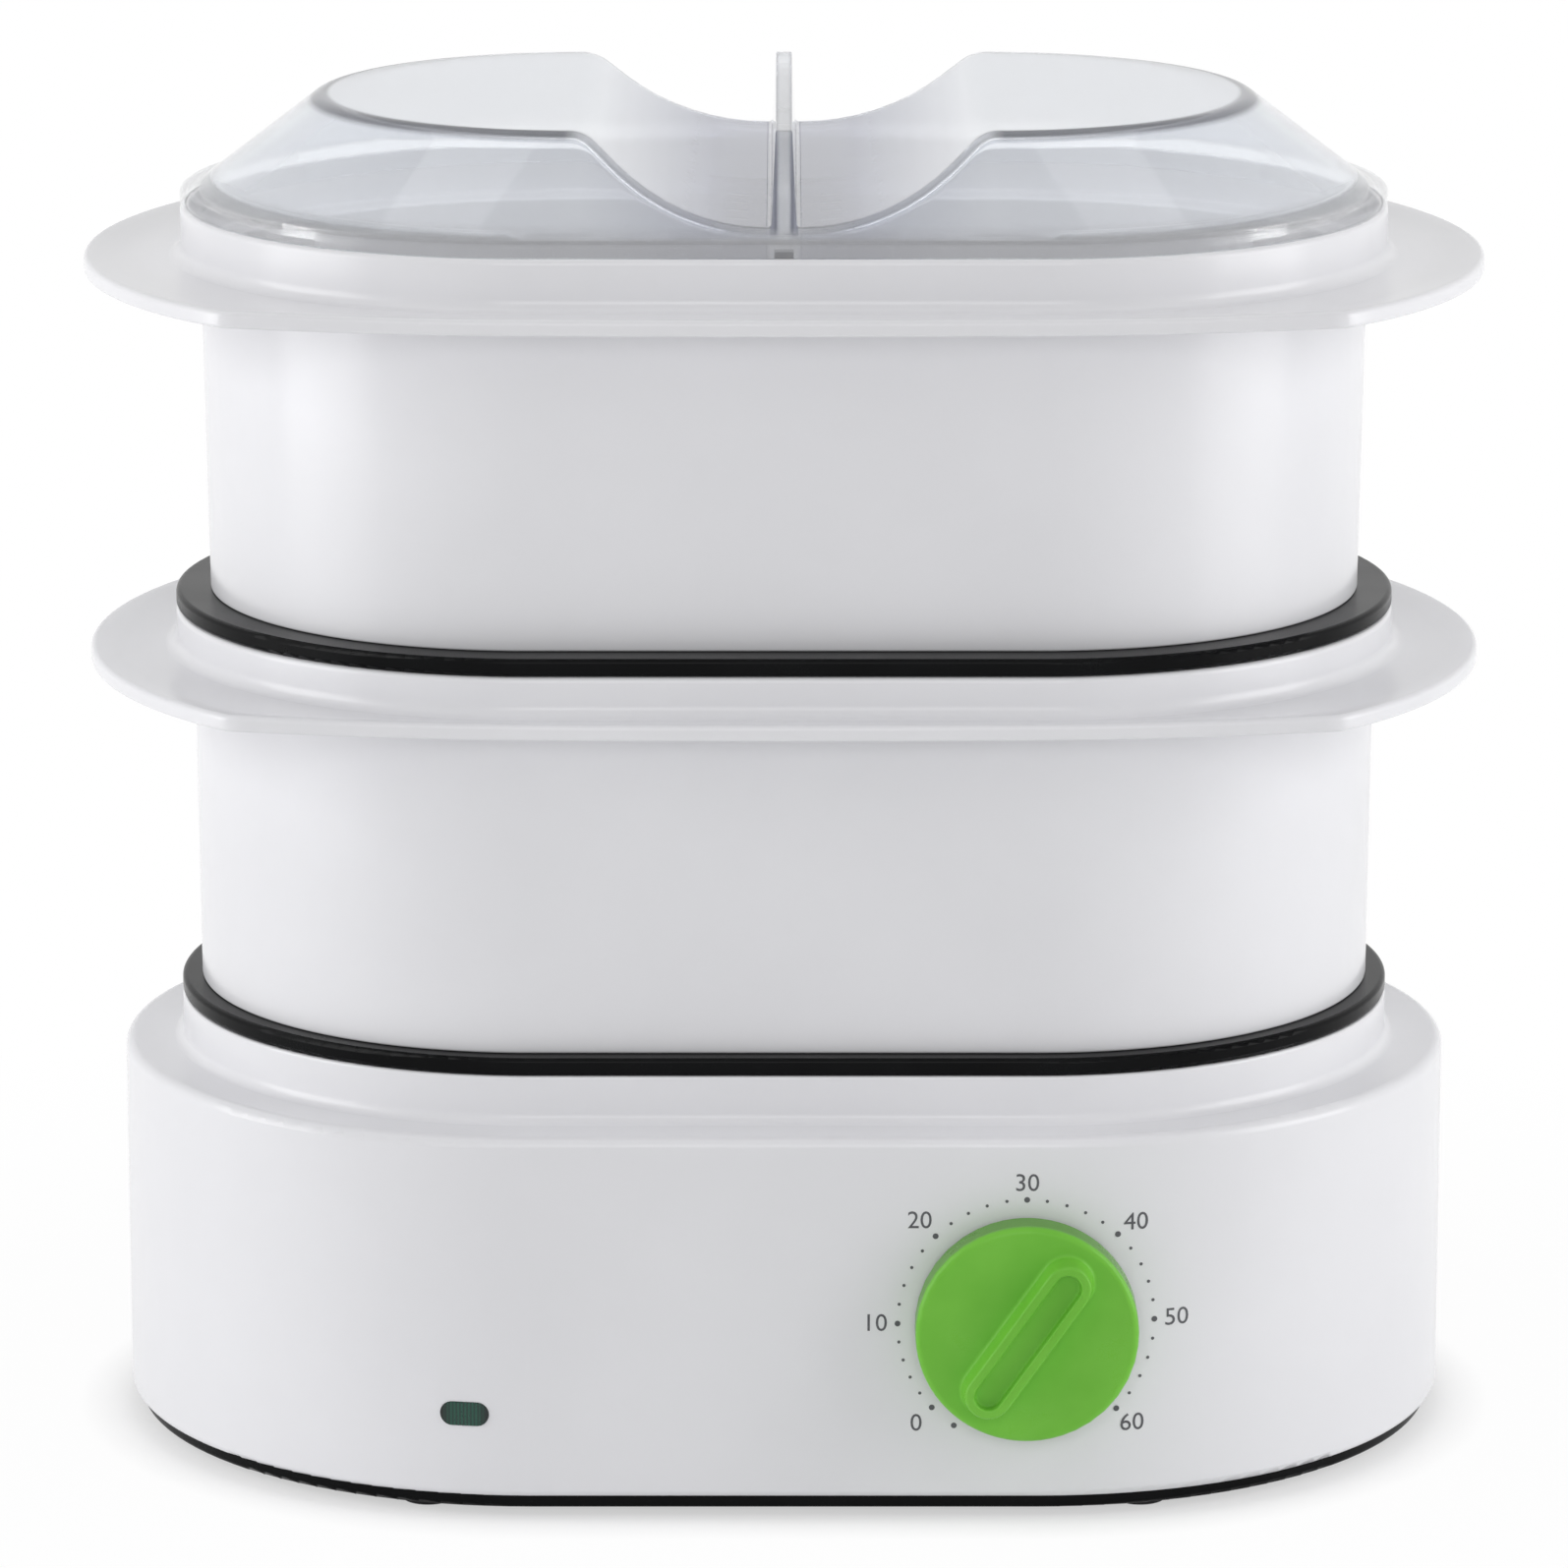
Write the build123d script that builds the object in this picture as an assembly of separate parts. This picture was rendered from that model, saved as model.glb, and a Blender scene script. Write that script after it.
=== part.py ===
from build123d import *
from math import cos, hypot, pi, radians, sin, sqrt
import os

os.makedirs("parts", exist_ok=True)

# Electric food steamer. Millimetres, +Z up, front towards -Y. The shapes are drawn round the middle
# of the oval and then moved back by frame_shift, so the origin lies under the middle of the whole.
# Every wall is an oval: two straight sides of length 2 * half_straight closed by half circles.
# A section is drawn as (radius, height, corner radius), where radius is the distance from the
# middle line of the oval, and is carried round the oval.

# ---- driving dimensions ----
half_straight = 63.3        # half the length of an oval's straight side
fit_gap = 0.3               # between faces of different bodies
snug_gap = 0.1              # between round faces held in one body
running_gap = 0.05          # shaft in its bearing
over = 1.0                  # how far a cutting shape runs past what it cuts
root = 0.5                  # how far a boss or web reaches into the wall that carries it

# base housing
base_radius = 107.2
base_wall = 2.8
base_bottom = 6.0
base_shoulder = 99.0
base_edge_fillet = 2.0
shoulder_fillet = 2.5
housing_lip_width = 3.1
housing_lip_height = 2.5
housing_lip_fillet = 1.2

# collars and the black rims that stand on them
collar_radius = 92.3
collar_wall = 2.5
collar_root_fillet = 2.5
collar_edge_fillet = 0.8
base_collar_height = 12.0
rim_height = 4.5
rim_fillet = 1.2

# baskets
tier_pitch = 101.7
basket_wall = 2.2
lower_foot_radius = 87.2
lower_neck_radius = 87.9
upper_foot_radius = 83.4
upper_neck_radius = 84.7
upper_collar_radius = 89.7
upper_collar_height = 12.9
lower_collar_height = 10.0
upper_flange_drop = 1.1
ledge_drop = 1.3
ledge_fillet = 0.8
foot_edge_fillet = 0.6
neck_web = 1.0
neck_gap = 0.2

# handle flanges: two wide arcs and two end arcs with rounded corners
flange_half_width = 177.5
flange_half_depth = 102.0
flange_side_radius = 1500.0
flange_end_radius = 134.0
flange_corner_radius = 36.0
flange_plate = 2.4
flange_lip_height = 4.1
flange_lip_width = 2.6
flange_edge_fillet = 1.0

# basket floors
floor_plate = 2.6
upstand_height = 2.5
upstand_wall = 2.0
spigot_height = 4.0
spigot_wall = 1.8
spigot_gap = 1.3
spigot_fillet = 0.4
recess_inset = 0.3
upstand_fillet = 0.5
floor_fillet = 1.0
slot_length = 16.0
slot_width = 4.0
slot_pitch_x = 24.0
slot_pitch_y = 12.0
slot_margin = 7.0

# lid
lid_wall = 2.2
lid_rim_height = 3.8
lid_height = 27.8
lid_top_half_straight = 51.5
lid_top_radius = 66.3
lid_skirt_height = 5.0
lid_skirt_gap = 0.6
lid_ledge = 3.7
lid_side_inset = 2.9
lid_end_inset = 3.7
trough_depth = 21.0
trough_half_floor = 25.5
trough_half_mouth = 48.9
trough_mouth_fillet = 10.0
trough_floor_fillet = 55.0
fin_top_width = 4.0
fin_root_width = 6.4
gate_width = 4.4
gate_height = 1.6
gate_depth = 2.0

# bottom cover, feet and their screws
cover_bottom = 2.5
cover_plate = 2.5
cover_rim_height = 2.0
cover_rim_wall = 1.8
cover_rim_fillet = 0.4
cover_screw_radius = 1.6
cover_screw_length = 15.0
cover_screw_seat = 1.4
cover_screw_head_radius = 3.2
cover_screw_head_height = 1.3
cover_screw_circle = 92.0
cover_screw_angle = 35.0
cover_boss_radius = 4.2
cover_boss_top = 26.0
cover_boss_cap = 2.0
cover_web_gap = 2.0
cover_web_width = 3.0
cover_vent_length = 22.0
cover_vent_width = 3.0
cover_vent_pitch = 8.0
cover_vents = 5
cover_vent_x = 105.0
foot_radius = 7.0
foot_recess = 1.5
foot_fillet = 1.0
foot_stem_radius = 2.4
foot_barb_radius = 3.4
foot_barb_height = 2.0
foot_circle = 92.4
foot_angle = 73.5

# water tank
tank_wall = 2.5
tank_floor_height = 35.0
tank_floor = 3.0
tank_low_radius = 54.0
tank_low_fillet = 6.0
tank_shelf_fillet = 3.0
tank_wall_fillet = 5.0
tank_inner_fillet = 4.0
tank_edge_fillet = 0.6
tank_shelf_height = 80.0
tank_shelf_rise = 2.4
tank_rim_height = 104.0
tank_flange_height = 92.6
tank_flange = 2.4
tank_flange_radius = 103.2
gasket_inner_radius = 91.0
gasket_outer_radius = 93.4
tank_screw_circle = 97.5
tank_screw_x = 35.0
tank_screw_angle = 30.0
tank_boss_radius = 3.4
tank_screw_radius = 1.5
tank_screw_length = 5.0
tank_screw_head = 5.2
tank_screw_head_height = 2.0

# drip tray
tray_wall = 1.8
tray_depth = 16.0
tray_gap = 0.6
tray_flange = 1.6
tray_fillet = 3.0
tray_inner_fillet = 2.0
tray_edge_fillet = 0.5
tray_lip_height = 6.7
tray_lip_fillet = 0.4
chimney_width = 16.0
chimney_length = 90.0
chimney_wall = 1.8
chimney_height = 11.0
chimney_places = (-110.0, -40.0, 40.0, 110.0)

# heater in the tank floor
heater_hole_radius = 34.0
heater_plate_radius = 42.0
heater_plate_flange = 2.5
heater_plug_drop = 2.0
heater_plug_gap = 0.5
heater_plate_fillet = 1.0
heater_gasket = 1.2
heater_gasket_width = 6.5
heater_gasket_inset = 0.5
clamp_inner_radius = 26.0
clamp_outer_radius = 46.0
clamp_thickness = 2.0
stud_circle = 30.0
stud_radius = 2.0
stud_length = 9.0
stud_count = 3
nut_size = 7.0
nut_height = 3.2
element_ring_radius = 18.0
element_tube_radius = 3.6
element_gap_angle = 70.0
element_tail_length = 8.0
pin_radius = 1.2
pin_length = 7.0
thermostat_radius = 8.0
thermostat_height = 5.0
thermostat_tab_x = 4.5
tab_width = 4.8
tab_thickness = 0.8
tab_length = 6.0
clip_width = 6.0
clip_thickness = 1.0
clip_drop = 3.6
clip_pad = 5.0
clip_overhang = 6.0
fuse_radius = 2.0
fuse_length = 12.0
fuse_wire_radius = 0.66
fuse_stub = 3.0
fuse_y = -38.0

# timer and its knob
knob_x = 60.2
knob_height = 51.5
knob_radius = 27.7
knob_thickness = 9.6
knob_standoff = 0.8
knob_rim_wall = 2.2
knob_face = 3.0
knob_edge_fillet = 1.4
hub_radius = 7.5
grip_width = 13.0
grip_reach = 23.4
grip_height = 6.5
grip_draft = 6.0
grip_angle = 55.0
channel_width = 7.0
channel_depth = 2.4
clip_ring_width = 3.0
clip_ring_wall = 0.6
clip_ring_opening = 4.0
clip_ring_back = 1.0
spindle_radius = 3.0
spindle_hole_radius = 5.0
spindle_pivot_radius = 1.5
spindle_pivot_length = 0.8
spindle_pivot_start = 2.0
spindle_flat = 0.7
pivot_hole_depth = 0.9
timer_front = 5.3
timer_width = 46.0
timer_tall = 44.0
timer_depth = 28.0
timer_corner = 4.0
timer_sheet = 1.2
timer_plate = 1.5
timer_screw_x = 16.0
timer_screw_radius = 1.5
timer_screw_length = 7.0
timer_screw_head = 3.0
timer_screw_head_height = 1.5
timer_screw_seat = 3.0
timer_boss_radius = 3.6
timer_boss_depth = 6.0
wheel_radius = 11.6
wheel_thickness = 2.0
wheel_depth = 7.0
wheel_teeth = 36
tooth_height = 0.6
tooth_width = 0.9
wheel_hub_wall = 1.5
wheel_hub_length = 2.0
spring_depth = 12.0
spring_height = 9.0
spring_sheet = 0.5
spring_step = 0.7
spring_inner_radius = 4.2
spring_half_turns = 19
bell_radius = 16.0
bell_depth = 7.0
bell_sheet = 1.0
bell_fillet = 4.0
bell_gap = 1.6
bell_post_radius = 2.0
bell_post_head_radius = 3.4
bell_post_head_height = 0.9
timer_tab_x = 10.0
timer_tab_depth = 18.0

# indicator lamp
lamp_x = -79.7
lamp_height = 27.6
lens_length = 12.2
lens_tall = 6.0
lens_proud = 0.3
lens_flange = 1.2
lens_flange_margin = 1.6
lamp_case_length = 18.0
lamp_case_tall = 9.0
lamp_case_depth = 9.0
lamp_case_wall = 1.2
lamp_case_seat = 4.45
lamp_hole_half_depth = 2.0
bulb_radius = 2.6
bulb_length = 12.0

# supply: gland in the rear wall, terminal block on the cover
gland_x = -52.0
gland_height = 19.0
gland_bore_radius = 3.6
gland_neck_radius = 5.6
gland_flange_radius = 7.6
gland_flange = 1.8
gland_inner_length = 7.0
gland_inner_lip = 1.4
block_x = -30.0
block_y = 82.0
block_length = 30.0
block_width = 14.0
block_tall = 12.0
block_pitch = 9.0
block_bore_radius = 2.0
block_screw_radius = 1.4
block_screw_length = 4.0
block_screw_head_radius = 2.5
block_screw_head_height = 1.2
lead_entry = 3.0
lead_radius = 1.1

# ---- heights and radii that follow from them ----
base_collar_top = base_shoulder + base_collar_height
collar_bore = collar_radius - collar_wall
housing_bore = base_radius - base_wall
shoulder_under = base_shoulder - base_wall
lower_ring_bottom = base_collar_top
upper_ring_bottom = lower_ring_bottom + tier_pitch
lower_flange_top = upper_ring_bottom - lower_collar_height
upper_flange_top = lower_flange_top + tier_pitch - upper_flange_drop
lid_seat = upper_flange_top + upper_collar_height
lid_top = lid_seat + lid_height
cover_radius = base_radius - base_edge_fillet - 0.5
housing_lip_radius = cover_radius + 0.5 - housing_lip_width
cover_inside = cover_bottom + cover_plate
cover_screw_bottom = cover_bottom + cover_screw_seat
tank_top_of_floor = tank_floor_height + tank_floor
plate_flange_bottom = tank_top_of_floor + heater_gasket
plate_plug_bottom = plate_flange_bottom - heater_gasket - heater_plug_drop
clamp_bottom = tank_floor_height - clamp_thickness
knob_reach = knob_standoff + knob_thickness + grip_height
frame_shift = (knob_reach - gland_flange) / 2


# ---- shared shapes ----
def profile(corners):
    """Closed section from (radius, height, corner radius) corners, in order."""
    points = [(radius, height) for radius, height, _ in corners]
    rounds = [corner for _, _, corner in corners]
    return make_face(FilletPolyline(*points, radius=rounds, close=True))


def oval(corners, straight=half_straight):
    """The section carried round an oval: half turns at the ends, straight runs between."""
    section = profile(corners)
    half_turn = revolve(Plane.XZ * section, Axis.Z, 180)
    rear = extrude(Plane.YZ * section, straight, both=True)
    right = Pos(straight, 0, 0) * Rot(0, 0, -90) * half_turn
    left = Pos(-straight, 0, 0) * Rot(0, 0, 90) * half_turn
    front = Rot(0, 0, 180) * rear
    return right + left + front + rear


def oval_face(radius, height, straight=half_straight):
    """Flat oval face at a height."""
    return Pos(0, 0, height) * SlotOverall(2 * (straight + radius), 2 * radius)


def oval_slab(radius, bottom, top, straight=half_straight):
    """Solid oval between two heights."""
    return extrude(oval_face(radius, bottom, straight), top - bottom)


def post(radius, bottom, top):
    """Upright cylinder between two heights, on the Z axis."""
    return Pos(0, 0, bottom) * Cylinder(radius, top - bottom, align=(Align.CENTER, Align.CENTER, Align.MIN))


def tube(outer, inner, bottom, top):
    """Upright ring between two heights, on the Z axis."""
    return post(outer, bottom, top) - post(inner, bottom - over, top + over)


def pan_screw(radius, length, head_radius, head_height):
    """Screw with its head under the plane z = 0 and its shank rising from it, with a cross recess."""
    bar = Box(head_radius, radius * 0.5, head_height, align=(Align.CENTER, Align.CENTER, Align.CENTER))
    cross = Pos(0, 0, -head_height) * (bar + Rot(0, 0, 90) * bar)
    return post(head_radius, -head_height, 0) + post(radius, 0, length) - cross


def end_points(circle, angle):
    """Four points on the end arcs of an oval, at one angle from its long axis."""
    reach = half_straight + circle * cos(radians(angle))
    side = circle * sin(radians(angle))
    return [(mirror_x * reach, mirror_y * side) for mirror_x in (1, -1) for mirror_y in (1, -1)]


def outward(point):
    """Direction, in degrees, straight out of the oval at a point."""
    x, y = point
    along = max(abs(x) - half_straight, 0) * (1 if x >= 0 else -1)
    return Vector(1, 0, 0).get_signed_angle(Vector(along, y, 0), Vector(0, 0, 1))


cover_screw_places = end_points(cover_screw_circle, cover_screw_angle) + [
    (0, cover_screw_circle),
    (0, -cover_screw_circle),
]
tank_screw_places = end_points(tank_screw_circle, tank_screw_angle) + [
    (mirror_x * tank_screw_x, mirror_y * tank_screw_circle) for mirror_x in (1, -1) for mirror_y in (1, -1)
]
foot_places = end_points(foot_circle, foot_angle)
stud_angles = [radians(90 + step * 360 / stud_count) for step in range(stud_count)]
stud_places = [(stud_circle * cos(angle), stud_circle * sin(angle)) for angle in stud_angles]

# front of the timer: x along +X, y along +Z, z out of the front face
dial_plane = Plane(origin=(knob_x, -base_radius, knob_height), x_dir=(1, 0, 0), z_dir=(0, -1, 0))

# front of the lamp: square to the curved end of the housing
lamp_turn = -abs((abs(lamp_x) - half_straight) / base_radius)
lamp_front = (base_radius**2 - (abs(lamp_x) - half_straight) ** 2) ** 0.5
lamp_normal = Vector(lamp_turn * base_radius, -lamp_front, 0).normalized()
lamp_plane = Plane(
    origin=(lamp_x, -lamp_front, lamp_height), x_dir=(-lamp_normal.Y, lamp_normal.X, 0), z_dir=lamp_normal
)


# ---- base ----
def base_housing():
    """White shell: vertical wall, shoulder and collar, with bosses inside."""
    shell = oval([
        (housing_lip_radius, base_bottom, 0),
        (base_radius, base_bottom, base_edge_fillet),
        (base_radius, base_shoulder, shoulder_fillet),
        (collar_radius, base_shoulder, collar_root_fillet),
        (collar_radius, base_collar_top, collar_edge_fillet),
        (collar_bore, base_collar_top, collar_edge_fillet),
        (collar_bore, shoulder_under, 0),
        (housing_bore, shoulder_under, shoulder_fillet),
        (housing_bore, base_bottom + housing_lip_height, housing_lip_fillet),
        (housing_lip_radius, base_bottom + housing_lip_height, 0),
    ])
    web_bottom = cover_inside + cover_rim_height + cover_web_gap
    for place in cover_screw_places:
        boss = post(cover_boss_radius, cover_inside, cover_boss_top)
        web = Pos(0, 0, web_bottom) * Box(
            housing_bore + 2 * root - cover_screw_circle,
            cover_web_width,
            cover_boss_top - web_bottom,
            align=(Align.MIN, Align.CENTER, Align.MIN),
        )
        hole = post(cover_screw_radius + running_gap, cover_inside - over, cover_boss_top - cover_boss_cap)
        shell += Pos(*place, 0) * (boss + Rot(0, 0, outward(place)) * web)
        shell -= Pos(*place, 0) * hole
    for place in tank_screw_places:
        shell += Pos(*place, 0) * post(tank_boss_radius, tank_flange_height + snug_gap, shoulder_under + root)
        shell -= Pos(*place, 0) * post(
            tank_screw_radius + running_gap,
            tank_flange_height - over,
            tank_flange_height + tank_screw_length + fit_gap,
        )
    screw_boss = Pos(0, 0, -timer_front) * Cylinder(
        timer_boss_radius, timer_front - base_wall / 2, align=(Align.CENTER, Align.CENTER, Align.MIN)
    )
    screw_hole = Cylinder(timer_screw_radius + running_gap, 4 * timer_front)
    head_hole = Pos(0, 0, -timer_screw_seat) * Cylinder(
        timer_screw_head + fit_gap, timer_front, align=(Align.CENTER, Align.CENTER, Align.MIN)
    )
    for side in (1, -1):
        spot = dial_plane * Pos(side * timer_screw_x, 0, 0)
        shell += spot * screw_boss
        shell -= spot * screw_hole
        shell -= spot * head_hole
    shell -= dial_plane * Cylinder(spindle_hole_radius, 4 * timer_front)
    shell -= lamp_plane * lens_blank(snug_gap)
    shell -= gland_place * Cylinder(gland_neck_radius + snug_gap, 4 * base_wall)
    return shell


def bottom_cover():
    """Black plate that closes the housing from below, with feet recesses and vents."""
    rim_radius = housing_lip_radius - fit_gap
    plate = oval([
        (0, cover_bottom, 0),
        (cover_radius, cover_bottom, rim_fillet),
        (cover_radius, base_bottom, 0),
        (rim_radius, base_bottom, 0),
        (rim_radius, base_bottom + cover_rim_height, cover_rim_fillet),
        (rim_radius - cover_rim_wall, base_bottom + cover_rim_height, cover_rim_fillet),
        (rim_radius - cover_rim_wall, cover_inside, 0),
        (0, cover_inside, 0),
    ])
    for place in cover_screw_places:
        plate -= Pos(*place, 0) * post(cover_screw_radius + fit_gap, 0, cover_inside + over)
        plate -= Pos(*place, 0) * post(cover_screw_head_radius + fit_gap, 0, cover_screw_bottom)
    for place in foot_places:
        plate -= Pos(*place, 0) * post(foot_radius + snug_gap, 0, cover_bottom + foot_recess)
        plate -= Pos(*place, 0) * post(foot_stem_radius + snug_gap, 0, cover_inside + over)
    slot = SlotOverall(cover_vent_length, cover_vent_width)
    for side in (1, -1):
        for step in range(cover_vents):
            across = (step - (cover_vents - 1) / 2) * cover_vent_pitch
            plate -= extrude(Pos(side * cover_vent_x, across, 0) * slot, cover_inside + over)
    return plate


def feet():
    """Four rubber feet, each pushed through the cover by its barbed stem."""
    foot = post(foot_radius, 0, cover_bottom + foot_recess)
    foot = fillet(foot.edges().filter_by(Plane.XY).sort_by(Axis.Z)[0], foot_fillet)
    foot += post(foot_stem_radius, cover_bottom, cover_inside + foot_barb_height)
    barb = Cone(
        foot_barb_radius, foot_stem_radius, foot_barb_height, align=(Align.CENTER, Align.CENTER, Align.MIN)
    )
    foot += Pos(0, 0, cover_inside) * barb
    return Part() + [Pos(*place, 0) * foot for place in foot_places]


def cover_screws():
    """Six screws that hold the cover to the housing's bosses."""
    screw = pan_screw(
        cover_screw_radius, cover_screw_length, cover_screw_head_radius, cover_screw_head_height
    )
    return Part() + [Pos(*place, cover_screw_bottom) * screw for place in cover_screw_places]


# ---- water tank and drip tray ----
def water_tank():
    """Stepped tank hung under the shoulder, with its rim inside the collar."""
    low_outer = tank_low_radius + tank_wall
    rim_outer = collar_bore - fit_gap
    rim_inner = rim_outer - tank_wall
    shelf_under = tank_shelf_height - tank_wall
    tank = oval([
        (0, tank_floor_height, 0),
        (low_outer, tank_floor_height, tank_low_fillet),
        (low_outer, shelf_under, tank_shelf_fillet),
        (rim_outer, shelf_under + tank_shelf_rise, tank_wall_fillet),
        (rim_outer, tank_flange_height, 0),
        (tank_flange_radius, tank_flange_height, tank_edge_fillet),
        (tank_flange_radius, tank_flange_height + tank_flange, tank_edge_fillet),
        (rim_outer, tank_flange_height + tank_flange, 0),
        (rim_outer, tank_rim_height, tank_edge_fillet),
        (rim_inner, tank_rim_height, tank_edge_fillet),
        (rim_inner, tank_shelf_height + tank_shelf_rise, tank_inner_fillet),
        (tank_low_radius, tank_shelf_height, tank_inner_fillet),
        (tank_low_radius, tank_top_of_floor, tank_inner_fillet),
        (0, tank_top_of_floor, 0),
    ])
    tank -= post(heater_hole_radius, tank_floor_height - over, tank_top_of_floor + over)
    for place in tank_screw_places:
        tank -= Pos(*place, 0) * post(tank_boss_radius + snug_gap, tank_flange_height - over, shoulder_under)
    return tank


def tank_gasket():
    """Flat silicone ring between the tank's flange and the shoulder."""
    bottom = tank_flange_height + tank_flange
    return oval_slab(gasket_outer_radius, bottom, shoulder_under) - oval_slab(
        gasket_inner_radius, bottom - over, shoulder_under + over
    )


def tank_screws():
    """Eight wide-headed screws that pull the tank's flange up."""
    screw = pan_screw(tank_screw_radius, tank_screw_length, tank_screw_head, tank_screw_head_height)
    return Part() + [Pos(*place, tank_flange_height) * screw for place in tank_screw_places]


def drip_tray():
    """Shallow tray on the tank's rim, with chimneys for the steam and a lip that centres the basket."""
    tray_radius = collar_bore - fit_gap - tank_wall - tray_gap
    tray_top = tank_rim_height + tray_flange
    floor_under = tank_rim_height - tray_depth
    floor_top = floor_under + tray_wall
    lip_radius = collar_bore - tray_gap
    lip_top = tray_top + tray_lip_height
    tray = oval([
        (0, floor_under, 0),
        (tray_radius, floor_under, tray_fillet),
        (tray_radius, tank_rim_height, 0),
        (lip_radius, tank_rim_height, tray_edge_fillet),
        (lip_radius, lip_top, tray_lip_fillet),
        (lip_radius - tray_wall, lip_top, tray_lip_fillet),
        (lip_radius - tray_wall, tray_top, tray_edge_fillet),
        (tray_radius - tray_wall, tray_top, tray_edge_fillet),
        (tray_radius - tray_wall, floor_top, tray_inner_fillet),
        (0, floor_top, 0),
    ])
    outer = SlotOverall(chimney_length + 2 * chimney_wall, chimney_width + 2 * chimney_wall, rotation=90)
    inner = SlotOverall(chimney_length, chimney_width, rotation=90)
    for place in chimney_places:
        tray += extrude(Pos(place, 0, floor_under) * outer, tray_wall + chimney_height)
        tray -= extrude(Pos(place, 0, floor_under - over) * inner, tray_depth + chimney_height)
    return tray


# ---- heater ----
def heater_plate():
    """Cast plate whose flange lies on the gasket and whose plug fills the tank's hole."""
    plug_radius = heater_hole_radius - heater_plug_gap
    flange = post(heater_plate_radius, plate_flange_bottom, plate_flange_bottom + heater_plate_flange)
    flange = fillet(flange.edges().filter_by(GeomType.CIRCLE).sort_by(Axis.Z)[-1], heater_plate_fillet)
    return flange + post(plug_radius, plate_plug_bottom, plate_flange_bottom)


def heater_gasket_ring():
    """Silicone ring under the plate's flange."""
    outer = heater_plate_radius - heater_gasket_inset
    return tube(outer, outer - heater_gasket_width, tank_top_of_floor, plate_flange_bottom)


def heater_clamp():
    """Steel ring that the nuts press against the underside of the tank."""
    ring = tube(clamp_outer_radius, clamp_inner_radius, clamp_bottom, tank_floor_height)
    for place in stud_places:
        ring -= Pos(*place, 0) * post(stud_radius + fit_gap, clamp_bottom - over, tank_floor_height + over)
    return ring


def heater_studs():
    """Studs that hang from the plate through the clamp ring."""
    stud = post(stud_radius, plate_plug_bottom - stud_length, plate_plug_bottom)
    return Part() + [Pos(*place, 0) * stud for place in stud_places]


def heater_nuts():
    """Hexagon nuts on the studs."""
    blank = extrude(RegularPolygon(nut_size / 2, 6, major_radius=False), nut_height)
    nut = Pos(0, 0, clamp_bottom - nut_height) * blank
    nut -= post(stud_radius + running_gap, 0, clamp_bottom + over)
    return Part() + [Pos(*place, 0) * nut for place in stud_places]


def element_ends():
    """Middles of the element's two cold ends."""
    half = radians(element_gap_angle / 2)
    reach = element_ring_radius * cos(half)
    side = element_ring_radius * sin(half)
    return [(reach, side), (reach, -side)]


def heater_element():
    """Tubular element: an open ring brazed under the plate, with both ends turned down."""
    middle = plate_plug_bottom - element_tube_radius
    ring = revolve(
        Plane.XZ * Pos(element_ring_radius, middle) * Circle(element_tube_radius),
        Axis.Z,
        360 - element_gap_angle,
    )
    element = Rot(0, 0, element_gap_angle / 2) * ring
    for place in element_ends():
        element += Pos(*place, middle) * Sphere(element_tube_radius)
        element += Pos(*place, 0) * post(element_tube_radius, middle - element_tail_length, middle)
    return element


def heater_pins():
    """Terminal pins at the element's cold ends."""
    top = plate_plug_bottom - element_tube_radius - element_tail_length
    return Part() + [Pos(*place, 0) * post(pin_radius, top - pin_length, top) for place in element_ends()]


def thermostat():
    """Disc thermostat pressed on the middle of the plate, with two tabs."""
    bottom = plate_plug_bottom - thermostat_height
    body = post(thermostat_radius, bottom, plate_plug_bottom)
    for side in (1, -1):
        tab = Pos(0, side * thermostat_tab_x, bottom) * Box(
            tab_width, tab_thickness, tab_length, align=(Align.CENTER, Align.CENTER, Align.MAX)
        )
        body += tab
    return body


def thermostat_clip():
    """Spring strip hung from the clamp ring under the element, with a pad that lifts the thermostat."""
    pad_top = plate_plug_bottom - thermostat_height
    strip_bottom = pad_top - clip_drop
    reach = clamp_inner_radius + clip_overhang
    strip = Pos(0, 0, strip_bottom) * Box(
        2 * reach, clip_width, clip_thickness, align=(Align.CENTER, Align.CENTER, Align.MIN)
    )
    strip += Pos(0, 0, strip_bottom) * Box(
        clip_pad, clip_pad, clip_drop, align=(Align.CENTER, Align.CENTER, Align.MIN)
    )
    for side in (1, -1):
        strip += Pos(side * (reach - clip_thickness), 0, strip_bottom) * Box(
            2 * clip_thickness,
            clip_width,
            clamp_bottom - strip_bottom,
            align=(Align.CENTER, Align.CENTER, Align.MIN),
        )
    return strip


def thermal_fuse():
    """Fuse can tucked under the clamp ring, with a stub of wire at each end."""
    middle = clamp_bottom - fuse_radius
    can = Cylinder(fuse_radius, fuse_length, rotation=(0, 90, 0))
    wire = Cylinder(fuse_wire_radius, fuse_length + 2 * fuse_stub, rotation=(0, 90, 0))
    return Pos(0, fuse_y, middle) * (can + wire)


# ---- timer: every shape stands on dial_plane, with z = 0 at the housing's front face ----
def along_dial(radius, back, front):
    """Cylinder on the knob's axis between two distances from the front face."""
    return Pos(0, 0, back) * Cylinder(radius, front - back, align=(Align.CENTER, Align.CENTER, Align.MIN))


timer_back = -timer_front - timer_depth


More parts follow.
